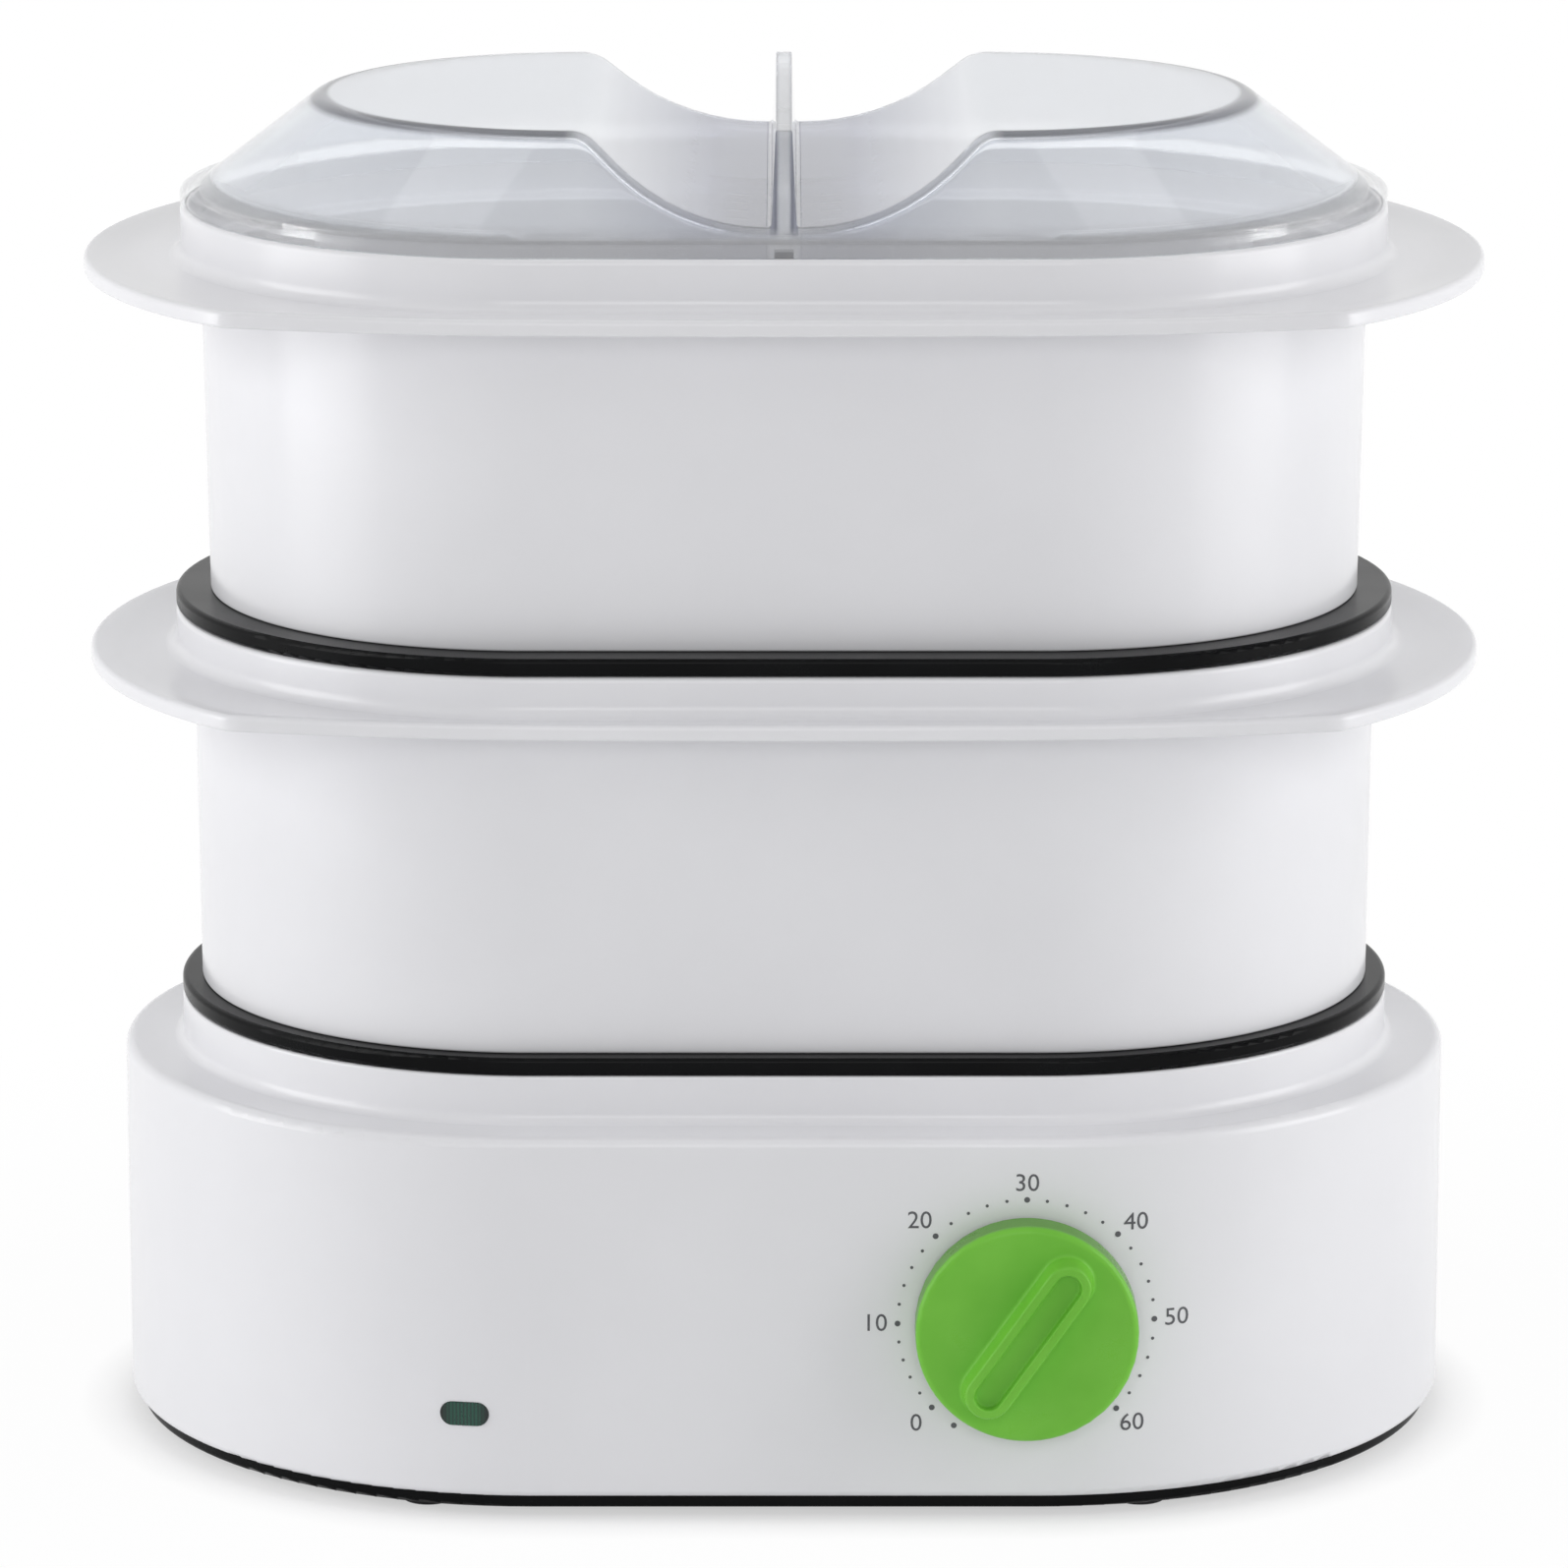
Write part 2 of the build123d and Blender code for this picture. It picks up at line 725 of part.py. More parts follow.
def timer_case():
    """Folded case of the clockwork, open at the back, with two threaded pillars."""
    outline = RectangleRounded(timer_width, timer_tall, timer_corner)
    hollow = offset(outline, -timer_sheet)
    case = extrude(Pos(0, 0, timer_back) * outline, timer_depth)
    case -= extrude(Pos(0, 0, timer_back - over) * hollow, timer_depth + over - timer_sheet)
    for side in (1, -1):
        pillar = along_dial(timer_boss_radius, -timer_front - timer_boss_depth, -timer_front)
        thread = along_dial(timer_screw_radius + running_gap, -timer_front - timer_boss_depth, 0)
        case += Pos(side * timer_screw_x, 0, 0) * pillar
        case -= Pos(side * timer_screw_x, 0, 0) * thread
        tab = Pos(side * timer_tab_x, -timer_tall / 2, -timer_front - timer_tab_depth) * Box(
            tab_width, tab_length, tab_thickness, align=(Align.CENTER, Align.MAX, Align.CENTER)
        )
        case += tab
    case -= along_dial(spindle_radius + running_gap, -2 * timer_front, 0)
    return dial_plane * case


def timer_back_plate():
    """Plate behind the clockwork, with the spindle's rear bearing."""
    outline = RectangleRounded(timer_width, timer_tall, timer_corner)
    plate = extrude(Pos(0, 0, timer_back - timer_plate) * outline, timer_plate)
    plate -= along_dial(spindle_pivot_radius + running_gap, timer_back - pivot_hole_depth, timer_back + over)
    return dial_plane * plate


def timer_screws():
    """Two screws from the front, hidden behind the knob."""
    screw = Rot(180, 0, 0) * pan_screw(
        timer_screw_radius, timer_screw_length, timer_screw_head, timer_screw_head_height
    )
    return Part() + [
        dial_plane * Pos(side * timer_screw_x, 0, -timer_screw_seat) * screw for side in (1, -1)
    ]


def timer_spindle():
    """Shaft that carries the knob and the wheel, flat on one side inside the knob."""
    tip = knob_standoff + knob_thickness - knob_face
    shoulder = timer_back + spindle_pivot_start
    shaft = along_dial(spindle_radius, shoulder, tip - snug_gap)
    shaft += along_dial(spindle_pivot_radius, timer_back - spindle_pivot_length, shoulder)
    flat = Pos(0, spindle_radius, tip) * Box(
        2 * spindle_radius, 2 * spindle_flat, 2 * (tip - knob_standoff)
    )
    return dial_plane * (shaft - flat)


def timer_wheel():
    """First wheel of the clockwork, fixed on the spindle."""
    back = -timer_front - timer_sheet - wheel_depth
    wheel = along_dial(wheel_radius - tooth_height, back, back + wheel_thickness)
    wheel += along_dial(spindle_radius + wheel_hub_wall, back - wheel_hub_length, back + wheel_thickness)
    tooth = Box(2 * tooth_height, tooth_width, wheel_thickness, align=(Align.CENTER, Align.CENTER, Align.MIN))
    for step in range(wheel_teeth):
        turn = Rot(0, 0, step * 360 / wheel_teeth)
        wheel += turn * Pos(wheel_radius - tooth_height, 0, back) * tooth
    bore_back = back - wheel_hub_length - over
    wheel -= along_dial(spindle_radius + running_gap / 2, bore_back, back + wheel_thickness + over)
    return dial_plane * wheel


def timer_mainspring():
    """Flat coil round the spindle, each half turn one step wider, anchored to the case."""
    back = timer_back + spring_depth - spring_height
    coil = Part()
    for step in range(spring_half_turns):
        radius = spring_inner_radius + step * spring_step
        upper = step % 2 == 0
        ring = Circle(radius + spring_sheet) - Circle(radius)
        half = Pos(0, 2 * radius if upper else -2 * radius) * Rectangle(4 * radius, 4 * radius)
        coil += extrude(Pos(0 if upper else spring_step, 0, back) * (ring & half), spring_height)
    outer = spring_inner_radius + spring_half_turns * spring_step - spring_step
    tail_length = timer_width / 2 - timer_sheet - outer
    coil += Pos(-outer, 0, back) * Box(
        tail_length, spring_sheet, spring_height, align=(Align.MAX, Align.MIN, Align.MIN)
    )
    return dial_plane * coil


def timer_bell():
    """Struck bell behind the clockwork."""
    front = timer_back - timer_plate - bell_gap
    cup = along_dial(bell_radius, front - bell_depth, front)
    cup = fillet(cup.edges().filter_by(GeomType.CIRCLE).sort_by(Axis.Z)[0], bell_fillet)
    hollow = along_dial(bell_radius - bell_sheet, front - bell_depth + bell_sheet, front + over)
    hollow = fillet(hollow.edges().filter_by(GeomType.CIRCLE).sort_by(Axis.Z)[0], bell_fillet - bell_sheet)
    hole = along_dial(bell_post_radius + running_gap, front - 2 * bell_depth, front)
    return dial_plane * (cup - hollow - hole)


def timer_bell_post():
    """Riveted post that carries the bell on the back plate."""
    front = timer_back - timer_plate
    bell_back = front - bell_gap - bell_depth
    stem = along_dial(bell_post_radius, bell_back - bell_post_head_height, front)
    head = along_dial(bell_post_head_radius, bell_back - bell_post_head_height, bell_back)
    collar = along_dial(bell_post_head_radius, bell_back + bell_sheet, front)
    return dial_plane * (stem + head + collar)


# ---- knob ----
def timer_knob():
    """Round knob with a raised grip bar, a sunk channel in it, and a hub behind."""
    back = knob_standoff
    front = back + knob_thickness
    disc = along_dial(knob_radius, back, front)
    disc = fillet(disc.edges().filter_by(GeomType.CIRCLE).sort_by(Axis.Z)[-1], knob_edge_fillet)
    hollow = along_dial(knob_radius - knob_rim_wall, back - over, front - knob_face)
    hub = along_dial(hub_radius, back, front)
    bore = along_dial(spindle_radius + running_gap / 2, back - over, front - knob_face)
    flat = Pos(0, spindle_radius, back - over) * Box(
        2 * spindle_radius,
        2 * (spindle_flat - snug_gap),
        2 * knob_thickness,
        align=(Align.CENTER, Align.CENTER, Align.MIN),
    )
    outline = SlotOverall(2 * grip_reach, grip_width)
    grip = extrude(Pos(0, 0, front - root) * outline, grip_height + root, taper=grip_draft)
    channel = extrude(
        Pos(0, 0, front + grip_height - channel_depth)
        * SlotOverall(2 * grip_reach - grip_width + channel_width, channel_width),
        channel_depth + over,
    )
    bar = Rot(0, 0, grip_angle) * (grip - channel)
    return dial_plane * (disc - hollow + hub - (bore - flat) + bar)


def knob_clip():
    """Open spring ring round the hub that keeps the knob on its spindle."""
    back = knob_standoff + clip_ring_back
    inner = hub_radius + running_gap
    ring = along_dial(inner + clip_ring_wall, back, back + clip_ring_width)
    ring -= along_dial(inner, back - over, back + clip_ring_width + over)
    opening = Pos(0, -inner, back) * Box(clip_ring_opening, inner, 3 * clip_ring_width)
    return dial_plane * (ring - opening)


# ---- lamp ----
def lens_blank(margin):
    """Pill that follows the lamp's hole, longer than the wall is thick."""
    return Pos(0, 0, -base_wall) * extrude(
        SlotOverall(lens_length + 2 * margin, lens_tall + 2 * margin), 3 * base_wall, both=True
    )


def lamp_lens():
    """Pill-shaped lens just proud of the wall, with a flange behind it."""
    pill = lamp_plane * lens_blank(0)
    behind = oval_slab(housing_bore - lens_flange, 0, base_shoulder)
    window = pill & (oval_slab(base_radius + lens_proud, 0, base_shoulder) - behind)
    back = lamp_plane * lens_blank(lens_flange_margin)
    flange = back & (oval_slab(housing_bore, 0, base_shoulder) - behind)
    return window + flange


def lamp_case():
    """Open box behind the lens that holds the bulb."""
    case = Pos(0, 0, -lamp_case_seat) * Box(
        lamp_case_length, lamp_case_tall, lamp_case_depth, align=(Align.CENTER, Align.CENTER, Align.MAX)
    )
    hollow = Pos(0, 0, -lamp_case_seat + over) * Box(
        lamp_case_length - 2 * lamp_case_wall,
        lamp_case_tall - 2 * lamp_case_wall,
        lamp_case_depth + over - lamp_case_wall,
        align=(Align.CENTER, Align.CENTER, Align.MAX),
    )
    holes = Pos(0, 0, -lamp_case_seat - lamp_case_depth) * (
        Pos(-bulb_radius, 0, 0) * Cylinder(lead_radius + snug_gap, 2 * lamp_hole_half_depth)
        + Pos(bulb_radius, 0, 0) * Cylinder(lead_radius + snug_gap, 2 * lamp_hole_half_depth)
    )
    return lamp_plane * (case - hollow - holes)


def lamp_bulb():
    """Neon bulb lying in its box."""
    middle = -lamp_case_seat - lamp_case_depth + lamp_case_wall + bulb_radius
    bulb = Cylinder(bulb_radius, bulb_length, rotation=(0, 90, 0))
    return lamp_plane * Pos(0, 0, middle) * bulb


# ---- supply and leads ----
gland_place = Plane(origin=(gland_x, base_radius, gland_height), x_dir=(-1, 0, 0), z_dir=(0, 1, 0))


def cord_gland():
    """Grommet in the rear wall for the mains lead."""
    neck_back = -base_wall - gland_inner_length
    gland = along_dial(gland_neck_radius, neck_back, gland_flange)
    gland += along_dial(gland_flange_radius, 0, gland_flange)
    gland += along_dial(gland_neck_radius + gland_inner_lip, neck_back, -base_wall)
    gland -= along_dial(gland_bore_radius, neck_back - over, gland_flange + over)
    return gland_place * gland


def block_ports():
    """Middles of the terminal block's three ways."""
    return [block_x + (step - 1) * block_pitch for step in range(3)]


def terminal_block():
    """Three-way terminal block standing on the cover."""
    block = Pos(block_x, block_y, cover_inside) * Box(
        block_length, block_width, block_tall, align=(Align.CENTER, Align.CENTER, Align.MIN)
    )
    middle = cover_inside + block_tall / 2
    for port in block_ports():
        way = Cylinder(block_bore_radius, 2 * block_width, rotation=(90, 0, 0))
        thread = post(block_screw_radius + running_gap, middle, cover_inside + block_tall + over)
        block -= Pos(port, block_y, middle) * way
        block -= Pos(port, block_y, 0) * thread
    return block


def block_screws():
    """Clamping screws of the terminal block."""
    screw = Rot(180, 0, 0) * pan_screw(
        block_screw_radius, block_screw_length, block_screw_head_radius, block_screw_head_height
    )
    return Part() + [Pos(port, block_y, cover_inside + block_tall) * screw for port in block_ports()]


def lead(points, bends):
    """Insulated wire along straight runs joined by arcs."""
    path = FilletPolyline(*points, radius=bends)
    start = Plane(origin=path @ 0, z_dir=path % 0)
    wire = sweep(start * Circle(lead_radius), path)
    ideal = path.length * pi * lead_radius**2
    print("lead", round(path.length, 1), "mm, radii", bends, "volume ratio", round(wire.volume / ideal, 3))
    return wire


port_front = block_y - block_width / 2 + lead_entry
port_height = cover_inside + block_tall / 2
tab_bottom = knob_height - timer_tall / 2 - tab_length
tab_y = -base_radius + timer_front + timer_tab_depth
near_tab = knob_x - timer_tab_x
far_tab = knob_x + timer_tab_x
pin_bottom = plate_plug_bottom - element_tube_radius - element_tail_length - pin_length
fuse_height = clamp_bottom - fuse_radius
fuse_end = fuse_length / 2 + fuse_stub
disc_tab_bottom = plate_plug_bottom - thermostat_height - tab_length
side_by_side = lead_radius + snug_gap


def live_leads():
    """Terminal block to timer, timer to thermostat, thermostat to fuse, fuse to element."""
    port = block_ports()[1]
    pin_x, pin_y = element_ends()[1]
    supply = lead(
        [
            (port, port_front, port_height),
            (port, 58, port_height),
            (-56, 0, 12),
            (-34, -66, 12),
            (near_tab, tab_y, 11),
            (near_tab, tab_y, tab_bottom),
        ],
        [16, 30, 25, 8],
    )
    switched = lead(
        [
            (far_tab + side_by_side, tab_y, tab_bottom),
            (far_tab + side_by_side, tab_y, 10),
            (60, -45, 10),
            (0, -22, 10),
            (0, -thermostat_tab_x, 10),
            (0, -thermostat_tab_x, disc_tab_bottom),
        ],
        [7, 20, 8, 8],
    )
    link = lead(
        [
            (0, thermostat_tab_x, disc_tab_bottom),
            (0, thermostat_tab_x, 18),
            (-26, 0, 18),
            (-26, fuse_y, fuse_height),
            (-fuse_end, fuse_y, fuse_height),
        ],
        [4, 9, 6],
    )
    feed = lead(
        [
            (fuse_end, fuse_y, fuse_height),
            (22, fuse_y, fuse_height),
            (32, -24, 14),
            (pin_x + 6, pin_y, 8),
            (pin_x, pin_y, 8),
            (pin_x, pin_y, pin_bottom),
        ],
        [5, 6, 2.5, 3],
    )
    return Part() + [supply, switched, link, feed]


def neutral_lead():
    """Element back to the terminal block."""
    pin_x, pin_y = element_ends()[0]
    port = block_ports()[2]
    return lead(
        [
            (pin_x, pin_y, pin_bottom),
            (pin_x, pin_y, 8),
            (port + 14, 40, 8),
            (port, 60, port_height),
            (port, port_front, port_height),
        ],
        [4, 14, 10],
    )


def lamp_exit(side, distance):
    """Point a distance straight behind one end of the lamp's bulb."""
    back = lamp_case_seat + lamp_case_depth - lamp_case_wall + running_gap
    return tuple(lamp_plane.from_local_coords(Vector(side * bulb_radius, 0, -back - distance)))


def lamp_leads():
    """Lamp to the terminal block, and lamp to the timer's switched tab."""
    port = block_ports()[0]
    return_lead = lead(
        [
            lamp_exit(-1, 0),
            lamp_exit(-1, 22),
            (-76, -20, 18),
            (-68, 25, 14),
            (port, 62, port_height),
            (port, port_front, port_height),
        ],
        [25, 40, 30, 10],
    )
    fed_lead = lead(
        [
            lamp_exit(1, 0),
            lamp_exit(1, 20),
            (-40, -50, 20),
            (24, -60, 19),
            (far_tab - side_by_side, tab_y, 16),
            (far_tab - side_by_side, tab_y, tab_bottom),
        ],
        [20, 30, 30, 6],
    )
    return Part() + [return_lead, fed_lead]


# ---- baskets ----
def flange_outline(inset):
    """Pointed oval of a handle flange: side arcs and end arcs, rounded where they meet."""
    side = Pos(0, flange_side_radius - flange_half_depth) * Circle(flange_side_radius - inset)
    end = Pos(flange_half_width - flange_end_radius, 0) * Circle(flange_end_radius - inset)
    shape = side & mirror(side, Plane.XZ) & (end + mirror(end, Plane.YZ))
    return fillet(shape.vertices(), flange_corner_radius - inset)


def basket_shell(foot_z, foot_radius_out, neck_radius, wall_collar_radius, flange_z, collar_z):
    """Basket wall: tapered body, ledge, collar and handle flange."""
    under = flange_z - flange_plate - neck_web
    shell = oval([
        (foot_radius_out - basket_wall, foot_z, 0),
        (foot_radius_out, foot_z, foot_edge_fillet),
        (neck_radius, under, 0),
        (wall_collar_radius, under, 0),
        (wall_collar_radius, collar_z, collar_edge_fillet),
        (wall_collar_radius - basket_wall, collar_z, collar_edge_fillet),
        (wall_collar_radius - basket_wall, flange_z, ledge_fillet),
        (neck_radius - basket_wall, flange_z - ledge_drop, ledge_fillet),
    ])
    bottom = flange_z - flange_lip_height
    blank = extrude(Pos(0, 0, bottom) * flange_outline(0), flange_lip_height)
    blank = fillet(blank.edges().filter_by(Plane.XY), flange_edge_fillet)
    recess = flange_outline(flange_lip_width)
    blank -= extrude(Pos(0, 0, bottom - over) * recess, flange_lip_height + over - flange_plate)
    blank -= oval_slab(wall_collar_radius - root, bottom - over, flange_z + over)
    wing_gap = oval_slab(neck_radius + neck_gap, bottom - over, under)
    return shell + (blank - wing_gap)


def spigot_underside(ring_bottom):
    """Half section under a floor whose spigot centres it inside the collar below."""
    spigot = collar_bore - spigot_gap
    return [
        (0, ring_bottom, 0),
        (spigot - spigot_wall, ring_bottom, 0),
        (spigot - spigot_wall, ring_bottom - spigot_height, 0),
        (spigot, ring_bottom - spigot_height, spigot_fillet),
        (spigot, ring_bottom, 0),
    ]


def recess_underside(ring_bottom):
    """Half section under a floor with a recess that drops over the drip tray's lip."""
    recess_top = ring_bottom + rim_height - floor_plate
    return [
        (0, recess_top, 0),
        (collar_bore - recess_inset, recess_top, 0),
        (collar_bore - recess_inset, ring_bottom, 0),
    ]


def basket_floor(underside, ring_bottom, foot_radius_out):
    """Black floor: outer rim on the collar below, low upstand inside the wall, slots."""
    ring_top = ring_bottom + rim_height
    inside = foot_radius_out - basket_wall - snug_gap
    plate_top = underside[0][1] + floor_plate
    floor = oval(underside + [
        (collar_radius, ring_bottom, rim_fillet),
        (collar_radius, ring_top, rim_fillet),
        (inside, ring_top, 0),
        (inside, ring_top + upstand_height, upstand_fillet),
        (inside - upstand_wall, ring_top + upstand_height, upstand_fillet),
        (inside - upstand_wall, plate_top, floor_fillet),
        (0, plate_top, 0),
    ])
    limit = inside - upstand_wall - slot_margin
    slot = SlotOverall(slot_length, slot_width)
    slots = []
    rows = int(limit / slot_pitch_y)
    columns = int((half_straight + limit) / slot_pitch_x)
    for row in range(-rows, rows + 1):
        for column in range(-columns, columns + 1):
            x = column * slot_pitch_x
            y = row * slot_pitch_y
            reach = hypot(max(abs(x) + slot_length / 2 - half_straight, 0), abs(y) + slot_width / 2)
            if reach < limit:
                slots.append(Pos(x, y) * slot)
    return floor - extrude(Pos(0, 0, ring_bottom - over) * (Sketch() + slots), rim_height + 2 * over)


# ---- lid ----
def trough_face(inset):
    """Section of the trough across the lid, open to the top and moved into the wall by inset."""
    top_z = lid_top - inset
    floor_z = top_z - trough_depth
    ceiling = lid_top + lid_height
    widen = inset * (sqrt(2) - 1)
    mouth_x = trough_half_mouth + widen
    floor_x = trough_half_floor + widen
    open_x = mouth_x + 2 * trough_mouth_fillet
    mouth_fillet = trough_mouth_fillet - inset
    floor_fillet = trough_floor_fillet + inset
    corners = [
        (-open_x, ceiling, 0),
        (-open_x, top_z, 0),
        (-mouth_x, top_z, mouth_fillet),
        (-floor_x, floor_z, floor_fillet),
        (floor_x, floor_z, floor_fillet),
        (mouth_x, top_z, mouth_fillet),
        (open_x, top_z, 0),
        (open_x, ceiling, 0),
    ]
    return Plane.XZ * profile(corners)


def dome(rim_straight, rim_radius, rim_z, top_straight, top_radius, top_z):
    """Sloping body between a wide oval below and a narrow one above."""
    rim = oval_face(rim_radius, rim_z, rim_straight)
    top = oval_face(top_radius, top_z, top_straight)
    return loft([rim, top], ruled=True)


def lid():
    """Clear lid: rim with a ledge, sloping dome, flat top, trough from front to back, fin."""
    rim_top = lid_seat + lid_rim_height
    dome_radius = upper_collar_radius - lid_ledge
    skirt_radius = upper_collar_radius - basket_wall - lid_skirt_gap
    outside = dome(
        half_straight, dome_radius, rim_top, lid_top_half_straight, lid_top_radius, lid_top
    )
    trough = extrude(trough_face(0), 2 * base_radius, both=True)
    fin_section = Plane.XZ * make_face(Polyline(
        (-fin_root_width / 2, rim_top),
        (fin_root_width / 2, rim_top),
        (fin_top_width / 2, lid_top + over),
        (-fin_top_width / 2, lid_top + over),
        close=True,
    ))
    fin = outside & extrude(fin_section, base_radius, both=True)
    share = lid_wall / (lid_top - rim_top)
    straight_inset = lid_end_inset - lid_side_inset
    inside = dome(
        half_straight - straight_inset,
        dome_radius - lid_side_inset,
        rim_top,
        lid_top_half_straight + (half_straight - lid_top_half_straight) * share - straight_inset,
        lid_top_radius + (dome_radius - lid_top_radius) * share - lid_side_inset,
        lid_top - lid_wall,
    )
    inside -= extrude(trough_face(lid_wall), 2 * base_radius, both=True)
    band = oval_slab(upper_collar_radius, lid_seat, rim_top)
    skirt = oval_slab(skirt_radius, lid_seat - lid_skirt_height, lid_seat)
    hollow = oval_slab(skirt_radius - lid_wall, lid_seat - lid_skirt_height - over, rim_top)
    body = (outside - trough) + fin + band + skirt - inside - hollow
    gate = Pos(0, -upper_collar_radius, lid_seat) * Box(gate_width, 2 * gate_depth, 2 * gate_height)
    return body - gate


shapes = {
    "base_housing": base_housing(),
    "bottom_cover": bottom_cover(),
    "feet": feet(),
    "cover_screws": cover_screws(),
    "water_tank": water_tank(),
    "tank_gasket": tank_gasket(),
    "tank_screws": tank_screws(),
    "drip_tray": drip_tray(),
    "heater_plate": heater_plate(),
    "heater_gasket": heater_gasket_ring(),
    "heater_clamp": heater_clamp(),
    "heater_studs": heater_studs(),
    "heater_nuts": heater_nuts(),
    "heater_element": heater_element(),
    "heater_pins": heater_pins(),
    "thermostat": thermostat(),
    "thermostat_clip": thermostat_clip(),
    "thermal_fuse": thermal_fuse(),
    "timer_case": timer_case(),
    "timer_back_plate": timer_back_plate(),
    "timer_screws": timer_screws(),
    "timer_spindle": timer_spindle(),
    "timer_wheel": timer_wheel(),
    "timer_mainspring": timer_mainspring(),
    "timer_bell": timer_bell(),
    "timer_bell_post": timer_bell_post(),
    "timer_knob": timer_knob(),
    "knob_clip": knob_clip(),
    "lamp_lens": lamp_lens(),
    "lamp_case": lamp_case(),
    "lamp_bulb": lamp_bulb(),
    "cord_gland": cord_gland(),
    "terminal_block": terminal_block(),
    "block_screws": block_screws(),
    "live_leads": live_leads(),
    "neutral_lead": neutral_lead(),
    "lamp_leads": lamp_leads(),
    "lower_basket_wall": basket_shell(
        lower_ring_bottom + rim_height,
        lower_foot_radius,
        lower_neck_radius,
        collar_radius,
        lower_flange_top,
        upper_ring_bottom,
    ),
    "lower_basket_floor": basket_floor(
        recess_underside(lower_ring_bottom), lower_ring_bottom, lower_foot_radius
    ),
    "upper_basket_wall": basket_shell(
        upper_ring_bottom + rim_height,
        upper_foot_radius,
        upper_neck_radius,
        upper_collar_radius,
        upper_flange_top,
        lid_seat,
    ),
    "upper_basket_floor": basket_floor(
        spigot_underside(upper_ring_bottom), upper_ring_bottom, upper_foot_radius
    ),
    "lid": lid(),
}

for name, shape in shapes.items():
    export_step(Pos(0, frame_shift, 0) * shape, f"parts/{name}.step")
    print(name, round(shape.volume))
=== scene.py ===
from math import acos, atan2, cos, pi, radians, sin, sqrt, tan
import bmesh
import bpy
import numpy as np
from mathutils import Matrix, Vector


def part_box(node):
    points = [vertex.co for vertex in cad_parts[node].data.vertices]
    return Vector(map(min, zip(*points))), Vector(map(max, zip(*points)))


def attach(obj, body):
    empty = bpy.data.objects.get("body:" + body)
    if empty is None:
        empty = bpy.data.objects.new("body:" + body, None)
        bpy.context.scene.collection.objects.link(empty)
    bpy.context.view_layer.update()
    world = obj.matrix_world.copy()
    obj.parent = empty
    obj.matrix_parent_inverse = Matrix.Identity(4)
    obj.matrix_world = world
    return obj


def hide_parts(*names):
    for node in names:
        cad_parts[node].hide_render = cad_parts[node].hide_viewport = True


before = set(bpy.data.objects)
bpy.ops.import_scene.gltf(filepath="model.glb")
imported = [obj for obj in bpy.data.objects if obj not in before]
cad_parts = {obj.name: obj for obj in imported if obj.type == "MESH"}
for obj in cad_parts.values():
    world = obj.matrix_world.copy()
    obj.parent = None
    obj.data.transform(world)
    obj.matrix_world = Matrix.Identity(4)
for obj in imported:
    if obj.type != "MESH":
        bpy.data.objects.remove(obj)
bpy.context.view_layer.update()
print("frame loaded:", len(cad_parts), "nodes")

# Shapes are worked out in millimetres round the middle of the oval that every wall follows: two straight
# sides closed by half circles. The housing's box gives that oval and where its middle lies.
millimetre = 0.001
housingLow, housingHigh = (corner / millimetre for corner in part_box("base_housing"))
ovalMiddleY = (housingLow.y + housingHigh.y) / 2
wallRadius = (housingHigh.y - housingLow.y) / 2
halfStraight = round((housingHigh.x - housingLow.x) / 2 - wallRadius, 1)


def nodeSpan(node):
    # lowest and highest corner of a CAD node, in millimetres round the middle of the oval
    low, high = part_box(node)
    shift = Vector((0, ovalMiddleY, 0))
    return low / millimetre - shift, high / millimetre - shift


def inScene(x, y, z):
    # a point in the oval's millimetres as a point of the scene
    return Vector((x, y + ovalMiddleY, z)) * millimetre


class Wire:
    # one shader socket that can stand in a sum: each operator adds a Math node
    def __init__(self, finish, socket):
        self.finish = finish
        self.socket = socket

    def __add__(self, other):
        return self.finish.maths("ADD", self, other)

    def __sub__(self, other):
        return self.finish.maths("SUBTRACT", self, other)

    def __rsub__(self, other):
        return self.finish.maths("SUBTRACT", other, self)

    def __mul__(self, other):
        return self.finish.maths("MULTIPLY", self, other)

    def __pow__(self, other):
        return self.finish.maths("POWER", self, other)

    __radd__ = __add__
    __rmul__ = __mul__


